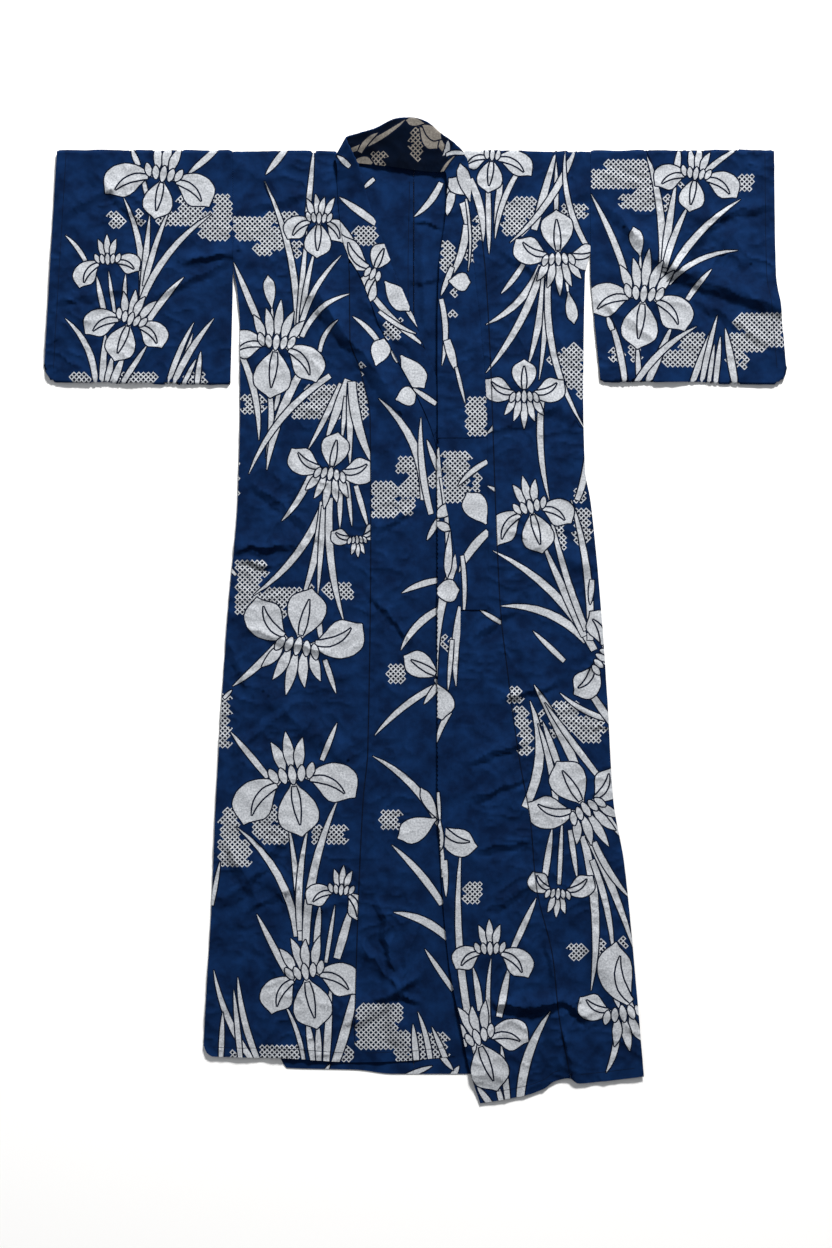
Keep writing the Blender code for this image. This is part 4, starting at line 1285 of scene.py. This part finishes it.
def cotton(name, dark, light, scale, dots=None):
    """Plain-weave cotton whose colour varies a little. With dots, the light colour is a net over them."""
    material = bpy.data.materials.new(name)
    material.use_nodes = True
    shader, node, join = node_maker(material)
    plan = node("ShaderNodeUVMap", uv_map="UVMap")

    def noise_at(scale, detail):
        made = node("ShaderNodeTexNoise")
        made.inputs["Scale"].default_value = scale
        made.inputs["Detail"].default_value = detail
        join(plan.outputs[0], made.inputs["Vector"])
        return made

    cloudy = noise_at(scale, 4.0)
    cloudy.inputs["Roughness"].default_value = 0.62
    ramp = node("ShaderNodeValToRGB")
    for element, place, shade in zip(ramp.color_ramp.elements, (0.36, 0.66), (dark, light)):
        element.position = place
        element.color = shade
    join(cloudy.outputs["Fac"], ramp.inputs["Fac"])
    colour = ramp.outputs["Color"]
    if dots is not None:
        parts = node("ShaderNodeSeparateXYZ")
        join(plan.outputs[0], parts.inputs[0])
        across, up = parts.outputs[0], parts.outputs[1]
        offs = []
        for operation in ("ADD", "SUBTRACT"):
            sum_of = maths(node, join, operation, across, up)
            share = maths(node, join, "MULTIPLY", sum_of, 1.0 / DOT_PITCH)
            nearest_dot = maths(node, join, "ROUND", share)
            offs.append(maths(node, join, "ABSOLUTE", maths(node, join, "SUBTRACT", share, nearest_dot)))
        off = maths(node, join, "MAXIMUM", *offs)
        is_dot = maths(node, join, "LESS_THAN", off, DOT_SHARE)
        mix = node("ShaderNodeMix", data_type="RGBA")
        join(is_dot, mix.inputs["Factor"])
        join(colour, mix.inputs["A"])
        mix.inputs["B"].default_value = dots
        colour = mix.outputs["Result"]
    join(colour, shader.inputs["Base Color"])
    shader.inputs["Roughness"].default_value = 0.88
    shader.inputs["Specular IOR Level"].default_value = 0.05
    weave = noise_at(WEAVE_SCALE, 2.0)
    bump = node("ShaderNodeBump")
    bump.inputs["Strength"].default_value = 0.25
    bump.inputs["Distance"].default_value = 0.0003
    join(weave.outputs["Fac"], bump.inputs["Height"])
    join(bump.outputs["Normal"], shader.inputs["Normal"])
    return material


CLOUDS = 26.0
BLOTCHES = 320.0
WEAVE_SCALE = 900.0
LINE_CLOUDS = 60.0
INDIGOS = (0.0010, 0.0072, 0.0310, 1.0), (0.0026, 0.0168, 0.0660, 1.0)
# Painted shade: indigo of the collar's inner face at the nape, much darker than the indigo above for the
# shade it lies in
SHADE_PAINTED_INDIGOS = (0.0006, 0.0024, 0.0080, 1.0), (0.0010, 0.0044, 0.0150, 1.0)
LINES = (0.0012, 0.0035, 0.0120, 1.0), (0.0022, 0.0060, 0.0200, 1.0)
WHITES = (0.26, 0.275, 0.30, 1.0), (0.47, 0.49, 0.525, 1.0)
# Painted shade: the white print on the collar's inner face at the nape, dimmed to a tan grey for the shade it
# lies in
SHADE_PAINTED_PRINTS = (0.155, 0.140, 0.125, 1.0), (0.260, 0.240, 0.215, 1.0)


def cottons(slot):
    """The cottons of one slot, in the order of the colour numbers."""
    return [
        cotton("Indigo cotton, " + slot, *INDIGOS, CLOUDS),
        cotton("White print, " + slot, *WHITES, BLOTCHES),
        cotton("Tied dots, " + slot, *WHITES, BLOTCHES, LINES[0]),
        cotton("Dark lines, " + slot, *LINES, LINE_CLOUDS),
        # The next three are painted shade: the collar's inner face at the nape and its print, darkened for
        # the shade they lie in
        cotton("Indigo in painted shade, " + slot, *SHADE_PAINTED_INDIGOS, CLOUDS),
        cotton("Print in painted shade, " + slot, *SHADE_PAINTED_PRINTS, BLOTCHES),
        cotton("Tied dots in painted shade, " + slot, *SHADE_PAINTED_PRINTS, BLOTCHES, LINES[0]),
    ]


def show(piece):
    """Hand one finished piece to the frame."""
    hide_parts(piece["node"])
    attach(piece, "root")


def body_panel(wearer_side, sign, side, front_edge, hem):
    """Front with its print, and the back behind it. The sewing is laid over the print."""
    cloth = Cloth("body_panel_" + wearer_side)
    loop = panel_loop(side, front_edge, hem, SHOULDER_END, 0.0, sign * GAP / 2)
    foot = hem[0][1] if sign < 0 else hem[-1][1]
    sewing = [
        seam_down(front_edge, front_edge[2][0], foot + HEM_DEPTH, sign * SEAM_EDGE),
        seam_across(hem, side[-1][1] - sign * HEM_DEPTH, front_edge[-1][1] + sign * HEM_DEPTH, HEM_DEPTH),
    ]
    cloth.shell(loop, lift_front(front_top), print_of("front_" + wearer_side) + sewing)
    y = spread(BACK_NECKLINE[2][1] - HEM_DEPTH, BACK_HEM_Y + HEM_DEPTH, EDGE_STEP)
    centre = [ribbon(np.full_like(y, CENTRE_SEAM_X + sign * SEAM_EDGE), y)]
    if sign < 0:
        centre.append(ribbon(CENTRE_SEAM_X - ALLOWANCE + SEAM_WANDER * np.sin(y * SEAM_WAVES), y))
    cloth.shell(back_loop(side, sign), lift_flat(back_top), print_of("back") + centre)
    return cloth.build(cottons_of["body"])


def overlap(wearer_side, loop, top, sewing):
    """A narrow front panel with its print. The sewing is laid over the print."""
    cloth = Cloth("overlap_panel_" + wearer_side)
    cloth.shell(loop, lift_flat(top), print_of("overlap_" + wearer_side) + sewing)
    return cloth


def sleeve(name, armhole, cuff, foot):
    """A sleeve folded at the top, with its print above and a plain side underneath."""
    level = sleeve_foot(foot, float(along(cuff, SLEEVE_FOOT_LEVEL)))
    cloth = Cloth(name)
    inwards = math.copysign(HEM_DEPTH, armhole[0][1] - cuff[0][1])
    sewing = [seam_down(cuff, SHOULDER_Y - STITCH, SLEEVE_FOOT_LEVEL + HEM_DEPTH, inwards)]
    upper = sleeve_loop(armhole, cuff, level, TURN)
    cloth.shell(upper, lift_front(sleeve_top, level), print_of(name) + sewing)
    cloth.shell(sleeve_loop(armhole, cuff, level, 0.0), lift_flat(back_top))
    return cloth.build(cottons_of["sleeve"])


cottons_of = {slot: cottons(slot) for slot in ("body", "overlap", "sleeve", "collar")}
body_right = body_panel("right", -1, RIGHT_SIDE, RIGHT_FRONT_EDGE, RIGHT_HEM)
body_left = body_panel("left", 1, LEFT_SIDE, LEFT_FRONT_EDGE, LEFT_HEM)
sleeve_right = sleeve("sleeve_right", RIGHT_ARMHOLE, RIGHT_CUFF, RIGHT_SLEEVE_FOOT)
sleeve_left = sleeve("sleeve_left", LEFT_ARMHOLE, LEFT_CUFF, LEFT_SLEEVE_FOOT)

loop = panel_loop(RIGHT_FRONT_EDGE, RIGHT_OVERLAP_EDGE, RIGHT_HEM, RIGHT_OVERLAP_TOP_Y, GAP / 2, -GAP / 2)
sewing = [
    seam_down(RIGHT_FRONT_EDGE, *RIGHT_SEAM, SEAM_EDGE),
    seam_across(RIGHT_HEM, *RIGHT_HEM_SEAM, HEM_DEPTH),
]
overlap_right = overlap("right", loop, under_front_top, sewing).build(cottons_of["overlap"])

loop = panel_loop(LEFT_FRONT_EDGE, LEFT_OVERLAP_EDGE, LEFT_HEM, LEFT_OVERLAP_TOP_Y, -GAP / 2, 0.0)
sewing = [
    seam_down(LEFT_FRONT_EDGE, *LEFT_SEAM, -SEAM_EDGE),
    seam_across(LEFT_HEM, *LEFT_HEM_SEAM, HEM_DEPTH),
]
over = overlap("left", loop, front_top, sewing)
over.shell(strip_loop(), lift_strip, print_of("strip"))
overlap_left = over.build(cottons_of["overlap"])

grid, neck_first, neck_last = band_grid()
seam_y = grid[:, 0, 1]
cover_first = int(np.argmax(seam_y > COVER_END_Y))
cover_last = neck_last + int(np.argmax(seam_y[neck_last:] < COVER_END_Y))
outer = Band(grid, COVER_REACH)
inner = Band(grid, BAND / 2)


def laid_on(band, panel, first, last, far_side=None):
    """The print of a panel in the band's own plan, on its first face or turned over from its far side."""
    shapes = []
    for loop, colour in print_of(panel):
        flat = band.flatten(loop, first, last)
        if far_side is not None:
            flat[:, 0] = far_side - flat[:, 0]
        shapes.append((turned_left(flat), colour))
    return shapes


turned_x = outer.width + outer.turn
far_side = turned_x + outer.width
nape_ends = outer.lengths[[neck_first + NECK_STEPS, neck_last - NECK_STEPS * 2]]
nape = rectangle(turned_x, far_side, *nape_ends)
# The print on the inner face at the nape takes the painted-shade colours
shade_painted_colours = {LINE: LINE, WHITE: SHADE_PAINTED_PRINT, DOTTED: SHADE_PAINTED_PRINT_DOTTED}
cover_shapes = laid_on(outer, "collar_right", 0, neck_first + NECK_STEPS * 2)
# The inner face at the nape is coloured with painted shade
cover_shapes.append((turned_left(nape), SHADE_PAINTED_INDIGO))
for loop, colour in laid_on(outer, "collar_inner", neck_first + NECK_STEPS * 4, neck_last, far_side):
    cover_shapes.append((loop, shade_painted_colours[colour]))
cover_shapes += laid_on(outer, "collar_left", neck_last - NECK_STEPS, len(grid), far_side)
cover = Cloth("collar_cover")
cover.shell(rectangle(0.0, far_side, outer.lengths[cover_first], outer.lengths[cover_last]),
            outer.wrapped, cover_shapes, to_plan=seen_from_above(outer.wrapped))
collar_cover = cover.build(cottons_of["collar"])

band = Cloth("collar_band")
band.shell(rectangle(0.0, inner.width, 0.0, inner.lengths[-1]), inner.second_face,
           laid_on(inner, "collar_left", neck_last, len(grid), inner.width), grid=BAND_GRID,
           to_plan=seen_from_above(inner.second_face))
collar_band = band.build(cottons_of["collar"])

show(body_right)
show(body_left)
show(overlap_right)
show(overlap_left)
show(sleeve_right)
show(sleeve_left)
show(collar_cover)
show(collar_band)

# Table, light and camera
CAMERA_HEIGHT = 6.0
FRAME_HEIGHT = PHOTO_HEIGHT * METRES_PER_PIXEL
SENSOR = 36.0
bpy.ops.mesh.primitive_plane_add(size=40.0, location=(0, 0, -0.0006))
table = bpy.context.object
table.name = "table"
paper = bpy.data.materials.new("White table")
paper.use_nodes = True
paper.node_tree.nodes["Principled BSDF"].inputs["Base Color"].default_value = (0.92, 0.92, 0.92, 1.0)
paper.node_tree.nodes["Principled BSDF"].inputs["Roughness"].default_value = 0.95
table.data.materials.append(paper)

camera_data = bpy.data.cameras.new("Camera")
camera_data.sensor_fit = "VERTICAL"
camera_data.sensor_height = SENSOR
camera_data.lens = SENSOR * CAMERA_HEIGHT / FRAME_HEIGHT
camera_data.clip_end = 50.0
camera = bpy.data.objects.new("Camera", camera_data)
camera.location = ((PHOTO_WIDTH / 2 - PHOTO_CENTRE_X) * METRES_PER_PIXEL,
                   (PHOTO_CENTRE_Y - PHOTO_HEIGHT / 2) * METRES_PER_PIXEL, CAMERA_HEIGHT)
bpy.context.scene.collection.objects.link(camera)
bpy.context.scene.camera = camera


def lamp(name, place, size, power, colour):
    data = bpy.data.lights.new(name, "AREA")
    data.size = size
    data.energy = power
    data.color = colour
    made = bpy.data.objects.new(name, data)
    made.location = place
    made.rotation_euler = (-Vector(place)).to_track_quat("-Z", "Y").to_euler()
    bpy.context.scene.collection.objects.link(made)


lamp("Key", (1.3, 5.4, 4.1), 1.2, 900.0, (1.0, 0.985, 0.96))
lamp("Fill", (-2.0, 0.4, 3.4), 2.5, 16.0, (0.94, 0.97, 1.0))

world = bpy.data.worlds.new("Pale room")
world.use_nodes = True
world.node_tree.nodes["Background"].inputs["Color"].default_value = (0.95, 0.97, 1.0, 1.0)
world.node_tree.nodes["Background"].inputs["Strength"].default_value = 0.24
bpy.context.scene.world = world
bpy.context.scene.view_settings.view_transform = "Standard"
